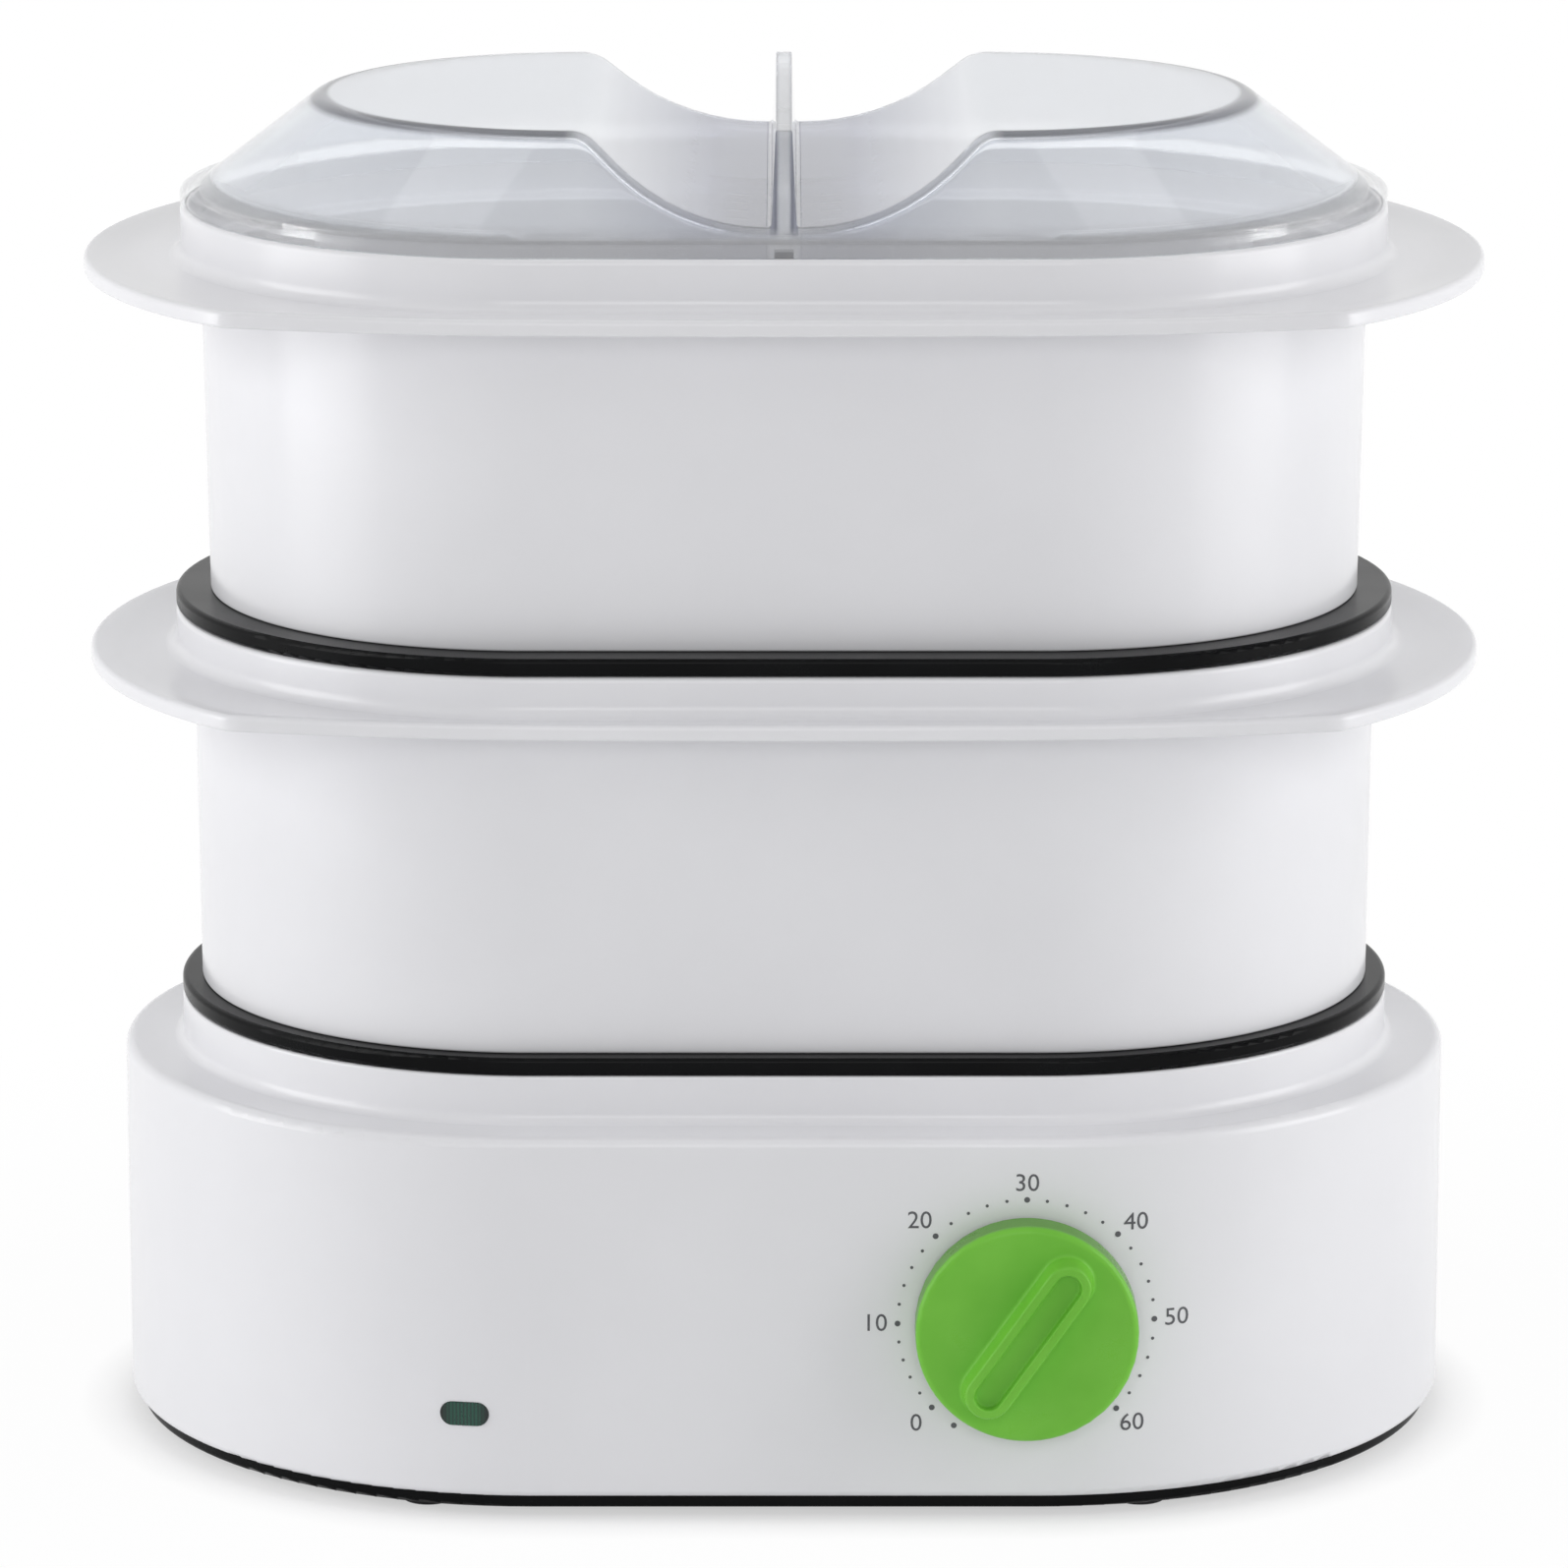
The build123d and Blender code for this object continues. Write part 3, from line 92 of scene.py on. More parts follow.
class Finish:
    # a node tree with one way to add a node: its type, its settings, then what goes into its sockets
    def __init__(self, owner):
        owner.use_nodes = True
        self.owner = owner
        self.tree = owner.node_tree
        self.tree.nodes.clear()

    def node(self, kind, settings=None, sockets=None, out=0):
        made = self.tree.nodes.new(kind)
        for name, value in (settings or {}).items():
            setattr(made, name, value)
        for name, value in (sockets or {}).items():
            if isinstance(value, Wire):
                self.tree.links.new(value.socket, made.inputs[name])
            else:
                made.inputs[name].default_value = value
        return Wire(self, made.outputs[out]) if made.outputs else made

    def maths(self, operation, first, second=0.0, clamp=False):
        settings = {"operation": operation, "use_clamp": clamp}
        return self.node("ShaderNodeMath", settings, {0: first, 1: second})

    def place(self, scale=1.0):
        # the piece's own coordinates, in metres times scale
        coords = self.node("ShaderNodeTexCoord", out="Object")
        return self.node("ShaderNodeVectorMath", {"operation": "SCALE"}, {0: coords, "Scale": scale})

    def axis(self, name):
        # X, Y or Z of a point, in millimetres round the middle of the oval
        place = self.place(1 / millimetre)
        value = self.node("ShaderNodeSeparateXYZ", {}, {0: place}, out=name)
        return value - ovalMiddleY if name == "Y" else value

    def noise(self, size, detail=2.0, roughness=0.5):
        # cloudy value from 0 to 1 whose blobs are about size millimetres across
        sockets = {
            "Vector": self.place(),
            "Scale": 1 / (size * millimetre),
            "Detail": detail,
            "Roughness": roughness,
        }
        return self.node("ShaderNodeTexNoise", {}, sockets)

    def ramp(self, value, low, high, fromValue=0.0, toValue=1.0):
        # value moved from the range low..high to fromValue..toValue, held at both ends
        sockets = {
            "Value": value,
            "From Min": low,
            "From Max": high,
            "To Min": fromValue,
            "To Max": toValue,
        }
        return self.node("ShaderNodeMapRange", {"clamp": True}, sockets)

    def fall(self, value, low, high):
        # 1 up to low, 0 from high on
        return self.ramp(value, low, high, 1.0, 0.0)

    def blend(self, share, first, second):
        # mix of two colours
        return self.node("ShaderNodeMix", {"data_type": "RGBA"}, {0: share, 6: first, 7: second}, out=2)

    def bump(self, height, depth, strength=1.0, under=None):
        # dents of up to depth millimetres where height goes from 0 to 1
        sockets = {"Height": height, "Distance": depth * millimetre, "Strength": strength}
        if under is not None:
            sockets["Normal"] = under
        return self.node("ShaderNodeBump", {}, sockets)

    def surface(self, sockets):
        # the material itself, with one shader of these sockets
        shader = self.node("ShaderNodeBsdfPrincipled", {}, sockets)
        self.node("ShaderNodeOutputMaterial", {}, {"Surface": shader})
        return self.owner


def newFinish(name):
    return Finish(bpy.data.materials.new(name))


def shade(red, green, blue):
    # a screen colour, 0 to 255, as the linear colour that shaders take
    screen = [channel / 255 for channel in (red, green, blue)]
    linear = [((share + 0.055) / 1.055) ** 2.4 if share > 0.04045 else share / 12.92 for share in screen]
    return (*linear, 1.0)


# the stretch of a noise's values that most of its points fall in
noiseMiddle = (0.35, 0.65)

whitePlastic = {
    "light": shade(235, 235, 238),
    "dark": shade(232, 232, 235),
    "cloudSize": 60,
    "rippleSize": 5.0,
    "rippleDepth": 0.006,
    "grainSize": 0.35,
    "grainDepth": 0.0012,
    "grainSheen": 0.2,
    "sheenReach": (0.4, 0.8),
    "roughness": (0.20, 0.27),
    "ior": 1.49,
}
greenPlastic = dict(
    whitePlastic,
    light=shade(121, 197, 68),
    dark=shade(113, 190, 61),
    cloudSize=18,
    rippleSize=3.0,
    grainSize=0.3,
    grainDepth=0.002,
    roughness=(0.26, 0.36),
    ior=1.3,
    # painted shade: the side behind the front's edge is darker
    side={"reach": (-116.6, -115.2), "tint": shade(90, 150, 48)},
)


def makeGlossPlastic(name, look):
    # polished moulding: slow colour clouds, faint ripples of the moulded skin and a fine grain; where the
    # look has a side, painted shade there
    finish = newFinish(name)
    clouds = finish.noise(look["cloudSize"], detail=3)
    ripple = finish.noise(look["rippleSize"], detail=2)
    grain = finish.noise(look["grainSize"], detail=2)
    colour = finish.blend(finish.ramp(clouds, *noiseMiddle), look["light"], look["dark"])
    if "side" in look:
        # painted shade: a darker colour on the side behind the front's edge
        side = look["side"]
        colour = finish.blend(finish.ramp(finish.axis("Y"), *side["reach"]), colour, side["tint"])
    sheen = clouds + grain * look["grainSheen"]
    skin = finish.bump(ripple, look["rippleDepth"])
    skin = finish.bump(grain, look["grainDepth"], under=skin)
    return finish.surface({
        "Base Color": colour,
        "Roughness": finish.ramp(sheen, *look["sheenReach"], *look["roughness"]),
        "Normal": skin,
        "IOR": look["ior"],
    })


blackPlastic = {
    "light": shade(14, 15, 16),
    "dark": shade(8, 8, 9),
    "cloudSize": 24,
    "grainSize": 0.45,
    "grainDepth": 0.008,
    "roughness": (0.2, 0.28),
    "specular": 0.07,
}
rubber = {
    "light": shade(42, 42, 44),
    "dark": shade(24, 24, 26),
    "cloudSize": 6,
    "grainSize": 0.3,
    "grainDepth": 0.03,
    "roughness": (0.6, 0.8),
    "specular": 0.3,
}
bakelite = dict(
    rubber, light=shade(60, 44, 36), dark=shade(38, 28, 24), roughness=(0.3, 0.5), grainDepth=0.01
)
greyPlastic = dict(
    rubber, light=shade(172, 174, 178), dark=shade(152, 154, 160), roughness=(0.35, 0.5), specular=0.5
)
silicone = dict(
    rubber, light=shade(206, 200, 190), dark=shade(186, 180, 172), roughness=(0.4, 0.6), specular=0.5
)
wireCover = dict(rubber, roughness=(0.35, 0.5))
brownWire = dict(wireCover, light=shade(124, 72, 42), dark=shade(98, 54, 30))
blueWire = dict(wireCover, light=shade(54, 104, 176), dark=shade(38, 82, 150))
greyWire = dict(wireCover, light=shade(140, 142, 146), dark=shade(112, 114, 118))
# how the pits of every grained moulding mix
pits = {
    "fineRoughness": 0.6,
    "coarser": 3,
    "fineColour": 0.3,
    "colourReach": (0.45, 0.85),
    "fineSheen": 0.4,
    "fineHeight": 0.6,
}


def makeGrainedPlastic(name, look):
    # spark-eroded moulding: rounded pits of two sizes, and a dull sheen that changes a little
    finish = newFinish(name)
    clouds = finish.noise(look["cloudSize"], detail=4)
    fine = finish.noise(look["grainSize"], detail=3, roughness=pits["fineRoughness"])
    coarse = finish.noise(look["grainSize"] * pits["coarser"], detail=2)
    colourShare = finish.ramp(clouds + fine * pits["fineColour"], *pits["colourReach"])
    sheen = clouds * (1 - pits["fineSheen"]) + fine * pits["fineSheen"]
    height = fine * pits["fineHeight"] + coarse * (1 - pits["fineHeight"])
    return finish.surface({
        "Base Color": finish.blend(colourShare, look["dark"], look["light"]),
        "Roughness": finish.ramp(sheen, *noiseMiddle, *look["roughness"]),
        "Specular IOR Level": look["specular"],
        "Normal": finish.bump(height, look["grainDepth"]),
    })


# where the lid's painted shade begins and ends, in millimetres: the darker tints in the recesses, round the
# flat tops, on the fin's sides and in the gate's notch are painted shade. fin, fade, reach, end, half and
# past are of |x|, front is of -y, and inside is how far within the sloping sides
clearPlastic = {
    "tint": shade(247, 250, 255),
    "hazeSize": 18,
    "sheenReach": (0.4, 0.7),
    "roughness": (0.0, 0.03),
    "rippleSize": 9,
    "rippleDepth": 0.01,
    "ior": 1.49,
    "haze": 0.24,
    "shadow": 0.04,
    "rim": {"height": (319.5, 323.0), "body": 0.28},
    # painted shade: the recesses darker and bluer
    "recessShade": {
        "tint": shade(166, 170, 190),
        "fin": (3.3, 4.1),
        "fade": (18.0, 50.0),
        "height": (339.0, 343.0),
        "foot": 86.0,
        "footHeight": 320.0,
        "run": 0.82,
        "inside": (0.8, 2.5),
    },
    # painted shade: a dark line round the flat tops
    "crease": {
        "tint": shade(118, 120, 128),
        "radius": (64.6, 65.8),
        "height": (341.6, 342.8),
        "past": (50.0, 54.0),
    },
    # painted shade on the fin's sides
    "finSideShade": {
        "tint": shade(160, 164, 182),
        "reach": (1.0, 1.9),
        "end": (3.4, 3.6),
        "height": (320.0, 323.0),
    },
    # painted shade: a dark patch in the gate's notch
    "gate": {
        "tint": shade(40, 42, 48),
        "half": (2.3, 2.5),
        "front": (80.0, 81.0),
        "height": (317.9, 318.1),
    },
}
bulbGlass = {
    "tint": shade(240, 236, 230),
    "hazeSize": 2,
    "sheenReach": (0.4, 0.7),
    "roughness": (0.0, 0.05),
    "rippleSize": 3,
    "rippleDepth": 0.02,
    "ior": 1.5,
    "haze": 0.0,
    "shadow": 0.12,
}


def lidTint(finish, look):
    # the lid's colour: its clear tint, with painted shade in the recesses, a painted dark line round the
    # flat tops, and painted shade on the fin's sides and in the gate's notch
    y, z = finish.axis("Y"), finish.axis("Z")
    reach = finish.maths("ABSOLUTE", finish.axis("X"))
    recessShade, crease, finSideShade, gate = (look[part] for part in ("recessShade", "crease", "finSideShade", "gate"))
    # painted shade in the recesses, inside the sloping sides: foot - (z - foot's height) * run, less |y|
    side = recessShade["foot"] - (z - recessShade["footHeight"]) * recessShade["run"]
    inside = finish.ramp(side - finish.maths("ABSOLUTE", y), *recessShade["inside"])
    inside = inside * finish.fall(reach, *recessShade["fade"]) * finish.ramp(reach, *recessShade["fin"])
    inside = inside * finish.fall(z, *recessShade["height"])
    colour = finish.blend(inside, look["tint"], recessShade["tint"])
    # painted dark line round the flat tops: sqrt(max(|x| - start, 0)^2 + y^2) near the crease's radius
    past = finish.maths("MAXIMUM", reach - crease["past"][0], 0)
    rimmed = finish.ramp((past**2 + y**2) ** 0.5, *crease["radius"]) * finish.ramp(z, *crease["height"])
    colour = finish.blend(rimmed * finish.ramp(reach, *crease["past"]), colour, crease["tint"])
    # painted shade on the fin's sides
    sides = finish.ramp(reach, *finSideShade["reach"]) * finish.fall(reach, *finSideShade["end"])
    colour = finish.blend(sides * finish.ramp(z, *finSideShade["height"]), colour, finSideShade["tint"])
    # painted shade in the gate's notch
    notch = finish.fall(reach, *gate["half"]) * finish.ramp(0 - y, *gate["front"])
    return finish.blend(notch * finish.fall(z, *gate["height"]), colour, gate["tint"])


def makeClearPlastic(name, look):
    # clear moulding with a cool tint, a hint of haze and the flow ripples of the mould; light that falls on
    # it from the lamps goes straight through, so that what lies under it isn't left dark
    finish = newFinish(name)
    haze = finish.noise(look["hazeSize"], detail=3)
    ripple = finish.noise(look["rippleSize"], detail=1)
    falling = [finish.node("ShaderNodeLightPath", out=ray) for ray in ("Is Shadow Ray", "Is Diffuse Ray")]
    colour = look["tint"]
    body = 1.0
    if "rim" in look:
        # the lid's clear tint with its painted shade
        colour = lidTint(finish, look)
        body = finish.ramp(finish.axis("Z"), *look["rim"]["height"], look["rim"]["body"], 1.0)
    return finish.surface({
        "Base Color": colour,
        "Roughness": finish.ramp(haze, *look["sheenReach"], *look["roughness"]),
        "IOR": look["ior"],
        "Transmission Weight": 1 - look["haze"],
        "Alpha": finish.ramp(falling[0] + falling[1], 0, 1, body, look["shadow"]),
        "Normal": finish.bump(ripple, look["rippleDepth"]),
    })


greenLens = {
    "light": shade(20, 86, 68),
    "dark": shade(8, 52, 42),
    "ends": shade(8, 24, 22),
    "middle": -79.7,
    "reach": (3.2, 5.6),
    "ribSize": 0.9,
    "ribDepth": 0.08,
    "ribStrength": 0.4,
    "cloudSize": 3,
    "sheenReach": (0.3, 0.7),
    "roughness": (0.2, 0.4),
    "transmission": 0.2,
}


def makeLens(name, look):
    # dark green lens: upright ribs behind a glossy skin, one every ribSize millimetres, darker to the ends
    finish = newFinish(name)
    ribPlace = finish.place(1 / (look["ribSize"] * millimetre))
    across = finish.node("ShaderNodeSeparateXYZ", {}, {0: ribPlace})
    ribs = finish.ramp(finish.maths("SINE", across * (2 * pi)), -1, 1)
    clouds = finish.noise(look["cloudSize"], detail=2)
    end = finish.ramp(finish.maths("ABSOLUTE", finish.axis("X") - look["middle"]), *look["reach"])
    colour = finish.blend(ribs, look["light"], look["dark"])
    return finish.surface({
        "Base Color": finish.blend(end, colour, look["ends"]),
        "Roughness": finish.ramp(clouds, *look["sheenReach"], *look["roughness"]),
        "Transmission Weight": look["transmission"],
        "Normal": finish.bump(ribs, look["ribDepth"], look["ribStrength"]),
    })


zincSteel = {
    "light": shade(202, 206, 212),
    "dark": shade(160, 164, 172),
    "spotSize": 1.5,
    "scratchSize": 0.12,
    "scratchDepth": 0.004,
    "scratchSheen": 0.5,
    "drawnOut": 0.05,
    "sheenReach": (0.2, 1.3),
    "roughness": (0.22, 0.4),
}
steelSheet = dict(zincSteel, light=shade(186, 188, 192), dark=shade(140, 143, 148), spotSize=6)
castAluminium = dict(
    zincSteel,
    light=shade(200, 202, 204),
    dark=shade(158, 160, 164),
    scratchDepth=0.03,
    scratchSize=0.6,
    roughness=(0.4, 0.6),
)
brass = dict(zincSteel, light=shade(214, 178, 98), dark=shade(176, 138, 70))
bellChrome = dict(
    zincSteel, light=shade(222, 224, 228), dark=shade(196, 198, 204), roughness=(0.08, 0.18)
)


def makeMetal(name, look):
    # metal: spots of duller plating, and fine scratches drawn out along X
    finish = newFinish(name)
    spots = finish.noise(look["spotSize"], detail=4)
    sockets = {"Vector": finish.place(), "Scale": (look["drawnOut"], 1, 1)}
    stretched = finish.node("ShaderNodeMapping", {}, sockets)
    sockets = {"Vector": stretched, "Scale": 1 / (look["scratchSize"] * millimetre), "Detail": 2.0}
    scratches = finish.node("ShaderNodeTexNoise", {}, sockets)
    share = finish.ramp(spots, *noiseMiddle)
    sheen = share + scratches * look["scratchSheen"]
    return finish.surface({
        "Base Color": finish.blend(share, look["light"], look["dark"]),
        "Metallic": 1.0,
        "Roughness": finish.ramp(sheen, *look["sheenReach"], *look["roughness"]),
        "Normal": finish.bump(scratches, look["scratchDepth"]),
    })


# each slot of the record with its maker and its look
finishes = {
    "white_plastic": (makeGlossPlastic, whitePlastic),
    "black_plastic": (makeGrainedPlastic, blackPlastic),
    "black_rubber": (makeGrainedPlastic, rubber),
    "zinc_steel": (makeMetal, zincSteel),
    "grey_plastic": (makeGrainedPlastic, greyPlastic),
    "silicone": (makeGrainedPlastic, silicone),
    "cast_aluminium": (makeMetal, castAluminium),
    "steel_sheet": (makeMetal, steelSheet),
    "bakelite": (makeGrainedPlastic, bakelite),
    "brass": (makeMetal, brass),
    "bell_chrome": (makeMetal, bellChrome),
    "green_plastic": (makeGlossPlastic, greenPlastic),
    "green_lens": (makeLens, greenLens),
    "bulb_glass": (makeClearPlastic, bulbGlass),
    "brown_wire": (makeGrainedPlastic, brownWire),
    "blue_wire": (makeGrainedPlastic, blueWire),
    "grey_wire": (makeGrainedPlastic, greyWire),
    "clear_plastic": (makeClearPlastic, clearPlastic),
}
materials = {}
for slotName, (maker, look) in finishes.items():
    materials[slotName] = maker(slotName + "_finish", look)
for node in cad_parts.values():
    for materialSlot in node.material_slots:
        materialSlot.material = materials[materialSlot.material.name.split(".")[0]]
print("finishes:", len(materials))


# Surfaces are grids of points in the oval's millimetres. Points nearer than joinGap are merged, and edges
# shorter than sliverEdge are dissolved.
joinGap = 0.004
sliverEdge = 0.001


def roundedPath(corners, closed=True, steps=7, shoulder=0.25):
    # straight runs between (across, up, fillet) corners; each fillet is an arc that touches both runs at
    # fillet * tan(turn / 2) from its corner, with one more point just outside each end of the arc
    path = []
    last = len(corners) - 1
    for index, (across, up, fillet) in enumerate(corners):
        corner = np.array((across, up), float)
        if fillet == 0 or (not closed and index in (0, last)):
            path.append(corner[None])
            continue
        before = np.array(corners[index - 1][:2]) - corner
        after = np.array(corners[(index + 1) % len(corners)][:2]) - corner
        before /= np.linalg.norm(before)
        after /= np.linalg.norm(after)
        halfTurn = (pi - acos(before @ after)) / 2
        reach = fillet * tan(halfTurn)
        bisector = before + after
        middle = corner + bisector / np.linalg.norm(bisector) * fillet / cos(halfTurn)
        share = np.linspace(0, 1, steps)[:, None]
        start = corner + before * reach - middle
        end = corner + after * reach - middle
        turn = 2 * halfTurn
        arc = (np.sin((1 - share) * turn) * start + np.sin(share * turn) * end) / sin(turn)
        outside = reach + shoulder
        path += [(corner + before * outside)[None], middle + arc, (corner + after * outside)[None]]
    return np.concatenate(path)


def ovalStations(turnSteps, straightSteps):
    # once round from the front left: where along the straight, from -1 to 1, and which way is outwards
    along = np.linspace(-1, 1, straightSteps, endpoint=False)
    turn = np.radians(np.linspace(-90, 90, turnSteps, endpoint=False))
    flat = np.full(straightSteps, pi / 2)
    share = np.concatenate([along, np.ones(turnSteps), -along, -np.ones(turnSteps)])
    angle = np.concatenate([-flat, turn, flat, turn + pi])
    return share, angle


def carryRound(stations, radius, height):
    # point = (half straight * share + radius * cos(angle), radius * sin(angle), height)
    share, angle = stations
    x = halfStraight * share[:, None] + radius * np.cos(angle)[:, None]
    y = radius * np.sin(angle)[:, None]
    return np.stack(np.broadcast_arrays(x, y, height), axis=-1)


class Mould:
    # gathers grids into one mesh: every cell between neighbouring rows and columns becomes a face
    def __init__(self):
        self.points = []
        self.faces = []
        self.count = 0

    def grid(self, points, loopRows=False, loopColumns=False):
        rows, columns = points.shape[:2]
        index = np.arange(rows * columns).reshape(rows, columns) + self.count
        if loopRows:
            index = np.vstack([index, index[:1]])
        if loopColumns:
            index = np.hstack([index, index[:, :1]])
        cells = np.stack([index[:-1, :-1], index[1:, :-1], index[1:, 1:], index[:-1, 1:]], axis=-1)
        self.points.append(points.reshape(-1, 3))
        self.faces.append(cells.reshape(-1, 4))
        self.count += rows * columns

    def piece(self, name, body, slotName, nodes=(), sharp=40):
        # the gathered grids as one closed piece, with edges over sharp degrees left hard
        points = np.concatenate(self.points)
        mesh = closedMesh(name, points, np.concatenate(self.faces).tolist(), joinGap, sliverEdge)
        mesh.shade_smooth()
        mesh.set_sharp_from_angle(angle=radians(sharp))
        return addPiece(name, mesh, body, slotName, nodes)


def closedMesh(name, points, faces, gap, sliver=None):
    # mesh with its place in it, merged within gap and turned outwards
    mesh = bpy.data.meshes.new(name)
    mesh.from_pydata(((points + (0, ovalMiddleY, 0)) * millimetre).tolist(), [], faces)
    shell = bmesh.new()
    shell.from_mesh(mesh)
    bmesh.ops.remove_doubles(shell, verts=shell.verts, dist=gap * millimetre)
    if sliver:
        bmesh.ops.dissolve_degenerate(shell, edges=shell.edges, dist=sliver * millimetre)
    bmesh.ops.recalc_face_normals(shell, faces=shell.faces)
    openEdges = sum(len(edge.link_faces) != 2 for edge in shell.edges)
    shell.to_mesh(mesh)
    shell.free()
    print(name, "faces", len(mesh.polygons), "open edges", openEdges)
    return mesh


def addPiece(name, mesh, body, finishName, nodes=()):
    # a piece on its body, with its finish; the CAD nodes it stands for are hidden
    piece = bpy.data.objects.new(name, mesh)
    bpy.context.scene.collection.objects.link(piece)
    mesh.materials.append(materials[finishName])
    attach(piece, body)
    finishName in finishes
    if nodes:
        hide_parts(*nodes)
    return piece


flange = {
    "sideRadius": 1500.0,
    "halfDepth": 102.0,
    "endRadius": 134.0,
    "cornerRadius": 36.0,
    "plate": 2.4,
    "lipHeight": 4.1,
    "lipWidth": 2.6,
    "lipEdge": 1.3,
    "lipFoot": 0.8,
    "rootFillet": 3.0,
    "collarEdge": 1.4,
    "dish": 1.2,
    "seatGap": 0.02,
}
wallLook = {
    "thickness": 2.2,
    "neckWeb": 1.0,
    "ledgeDrop": 1.3,
    "footInside": 0.5,
    "footOutside": 0.6,
    "neckRoot": 0.5,
    "webEdge": 0.4,
    "plateRoot": 0.5,
    "lipRoot": 0.6,
    "lipInside": 0.5,
    "collarInside": 0.6,
    "ledgeFillet": 0.8,
    "rootMargin": 0.3,
    "lipMargin": 1.2,
    "plateSteps": 6,
    "turnSteps": 120,
    "straightSteps": 24,
}
baskets = {
    "lower_basket_wall": {
        "body": "lower_basket", "foot": 87.2, "neck": 87.9, "collar": 92.3, "collarHeight": 10.0
    },
    "upper_basket_wall": {
        "body": "upper_basket", "foot": 83.4, "neck": 84.7, "collar": 89.7, "collarHeight": 12.9
    },
}


def circleReach(origin, way, middle, radius):
    # how far a ray runs from inside a circle to its edge: b + sqrt(b^2 - c), b along the ray to the middle
    gap = middle - origin
    along = (gap * way).sum(axis=-1)
    return along + np.sqrt(along**2 - (gap**2).sum(axis=-1) + radius**2)


def flangeReach(stations, halfWidth, look):
    # distance from the middle line to the flange's edge: two wide side arcs and two end arcs, each pair
    # joined by a corner arc that touches both from inside
    share, angle = stations
    origin = np.stack([halfStraight * np.abs(share), np.zeros(len(share))], axis=-1)
    way = np.stack([np.abs(np.cos(angle)), np.abs(np.sin(angle))], axis=-1)
    side = np.array((0, look["halfDepth"] - look["sideRadius"]))
    end = np.array((halfWidth - look["endRadius"], 0))
    sideGap = look["sideRadius"] - look["cornerRadius"]
    endGap = look["endRadius"] - look["cornerRadius"]
    between = end - side
    apart = np.linalg.norm(between)
    along = (sideGap**2 - endGap**2 + apart**2) / (2 * apart)
    offset = sqrt(sideGap**2 - along**2)
    unit = between / apart
    corner = side + unit * along + np.array((-unit[1], unit[0])) * offset
    reachSide = circleReach(origin, way, side, look["sideRadius"])
    reachEnd = circleReach(origin, way, end, look["endRadius"])
    touchSide = corner + (corner - side) / sideGap * look["cornerRadius"]
    touchEnd = corner + (corner - end) / endGap * look["cornerRadius"]
    heading = np.arctan2(way[:, 1], way[:, 0])
    first = atan2(touchEnd[1], touchEnd[0] - halfStraight)
    second = atan2(touchSide[1], touchSide[0] - halfStraight)
    inCorner = (heading > first) & (heading < second) & (np.abs(share) == 1)
    with np.errstate(invalid="ignore"):
        reachCorner = circleReach(origin, way, corner, look["cornerRadius"])
    return np.where(inCorner, reachCorner, np.minimum(reachSide, reachEnd))


def makeBasketWall(name, sizes, look):
    # one closed section carried round the oval; from the collar's root outwards it is stretched along each
    # ray, so that its last stretch always ends at the flange's edge, and it rises a little to the tips
    low, high = nodeSpan(name)
    stations = ovalStations(look["turnSteps"], look["straightSteps"])
    reach = flangeReach(stations, high.x, flange)
    widest = reach.max()
    thickness = look["thickness"]
    flangeTop = high.z - sizes["collarHeight"]
    plateUnder = flangeTop - flange["plate"]
    lipUnder = flangeTop - flange["lipHeight"]
    collarTop = high.z - flange["seatGap"]
    neckTop = plateUnder - look["neckWeb"]
    collar = sizes["collar"]
    lipInside = widest - flange["lipWidth"]
    rootEnd = collar + flange["rootFillet"] + look["rootMargin"]
    lipStart = lipInside - look["lipMargin"]
    between = np.linspace(rootEnd, lipStart, look["plateSteps"])
    section = roundedPath(
        [
            (sizes["foot"] - thickness, low.z, look["footInside"]),
            (sizes["foot"], low.z, look["footOutside"]),
            (sizes["neck"], neckTop, look["neckRoot"]),
            (collar, neckTop, look["webEdge"]),
            (collar, plateUnder, look["plateRoot"]),
        ]
        + [(across, plateUnder, 0) for across in between]
        + [
            (lipInside, plateUnder, look["lipRoot"]),
            (lipInside, lipUnder, look["lipInside"]),
            (widest, lipUnder, flange["lipFoot"]),
            (widest, flangeTop, flange["lipEdge"]),
        ]
        + [(across, flangeTop, 0) for across in between[::-1]]
        + [
            (collar, flangeTop, flange["rootFillet"]),
            (collar, collarTop, flange["collarEdge"]),
            (collar - thickness, collarTop, look["collarInside"]),
            (collar - thickness, flangeTop, look["ledgeFillet"]),
            (sizes["neck"] - thickness, flangeTop - look["ledgeDrop"], look["ledgeFillet"]),
        ]
    )
    across, up = section.T
    pull = np.clip((across - rootEnd) / (lipStart - rootEnd), 0, 1)
    radius = across + pull * (reach[:, None] - widest)
    rise = flange["dish"] * (reach - reach.min()) / (reach.max() - reach.min())
    points = carryRound(stations, radius, up + rise[:, None] * pull**2)
    mould = Mould()
    mould.grid(points, loopRows=True, loopColumns=True)
    return mould.piece(name.replace("_wall", "_shell"), sizes["body"], "white_plastic", [name])


for basketName, basketSizes in baskets.items():
    makeBasketWall(basketName, basketSizes, wallLook)

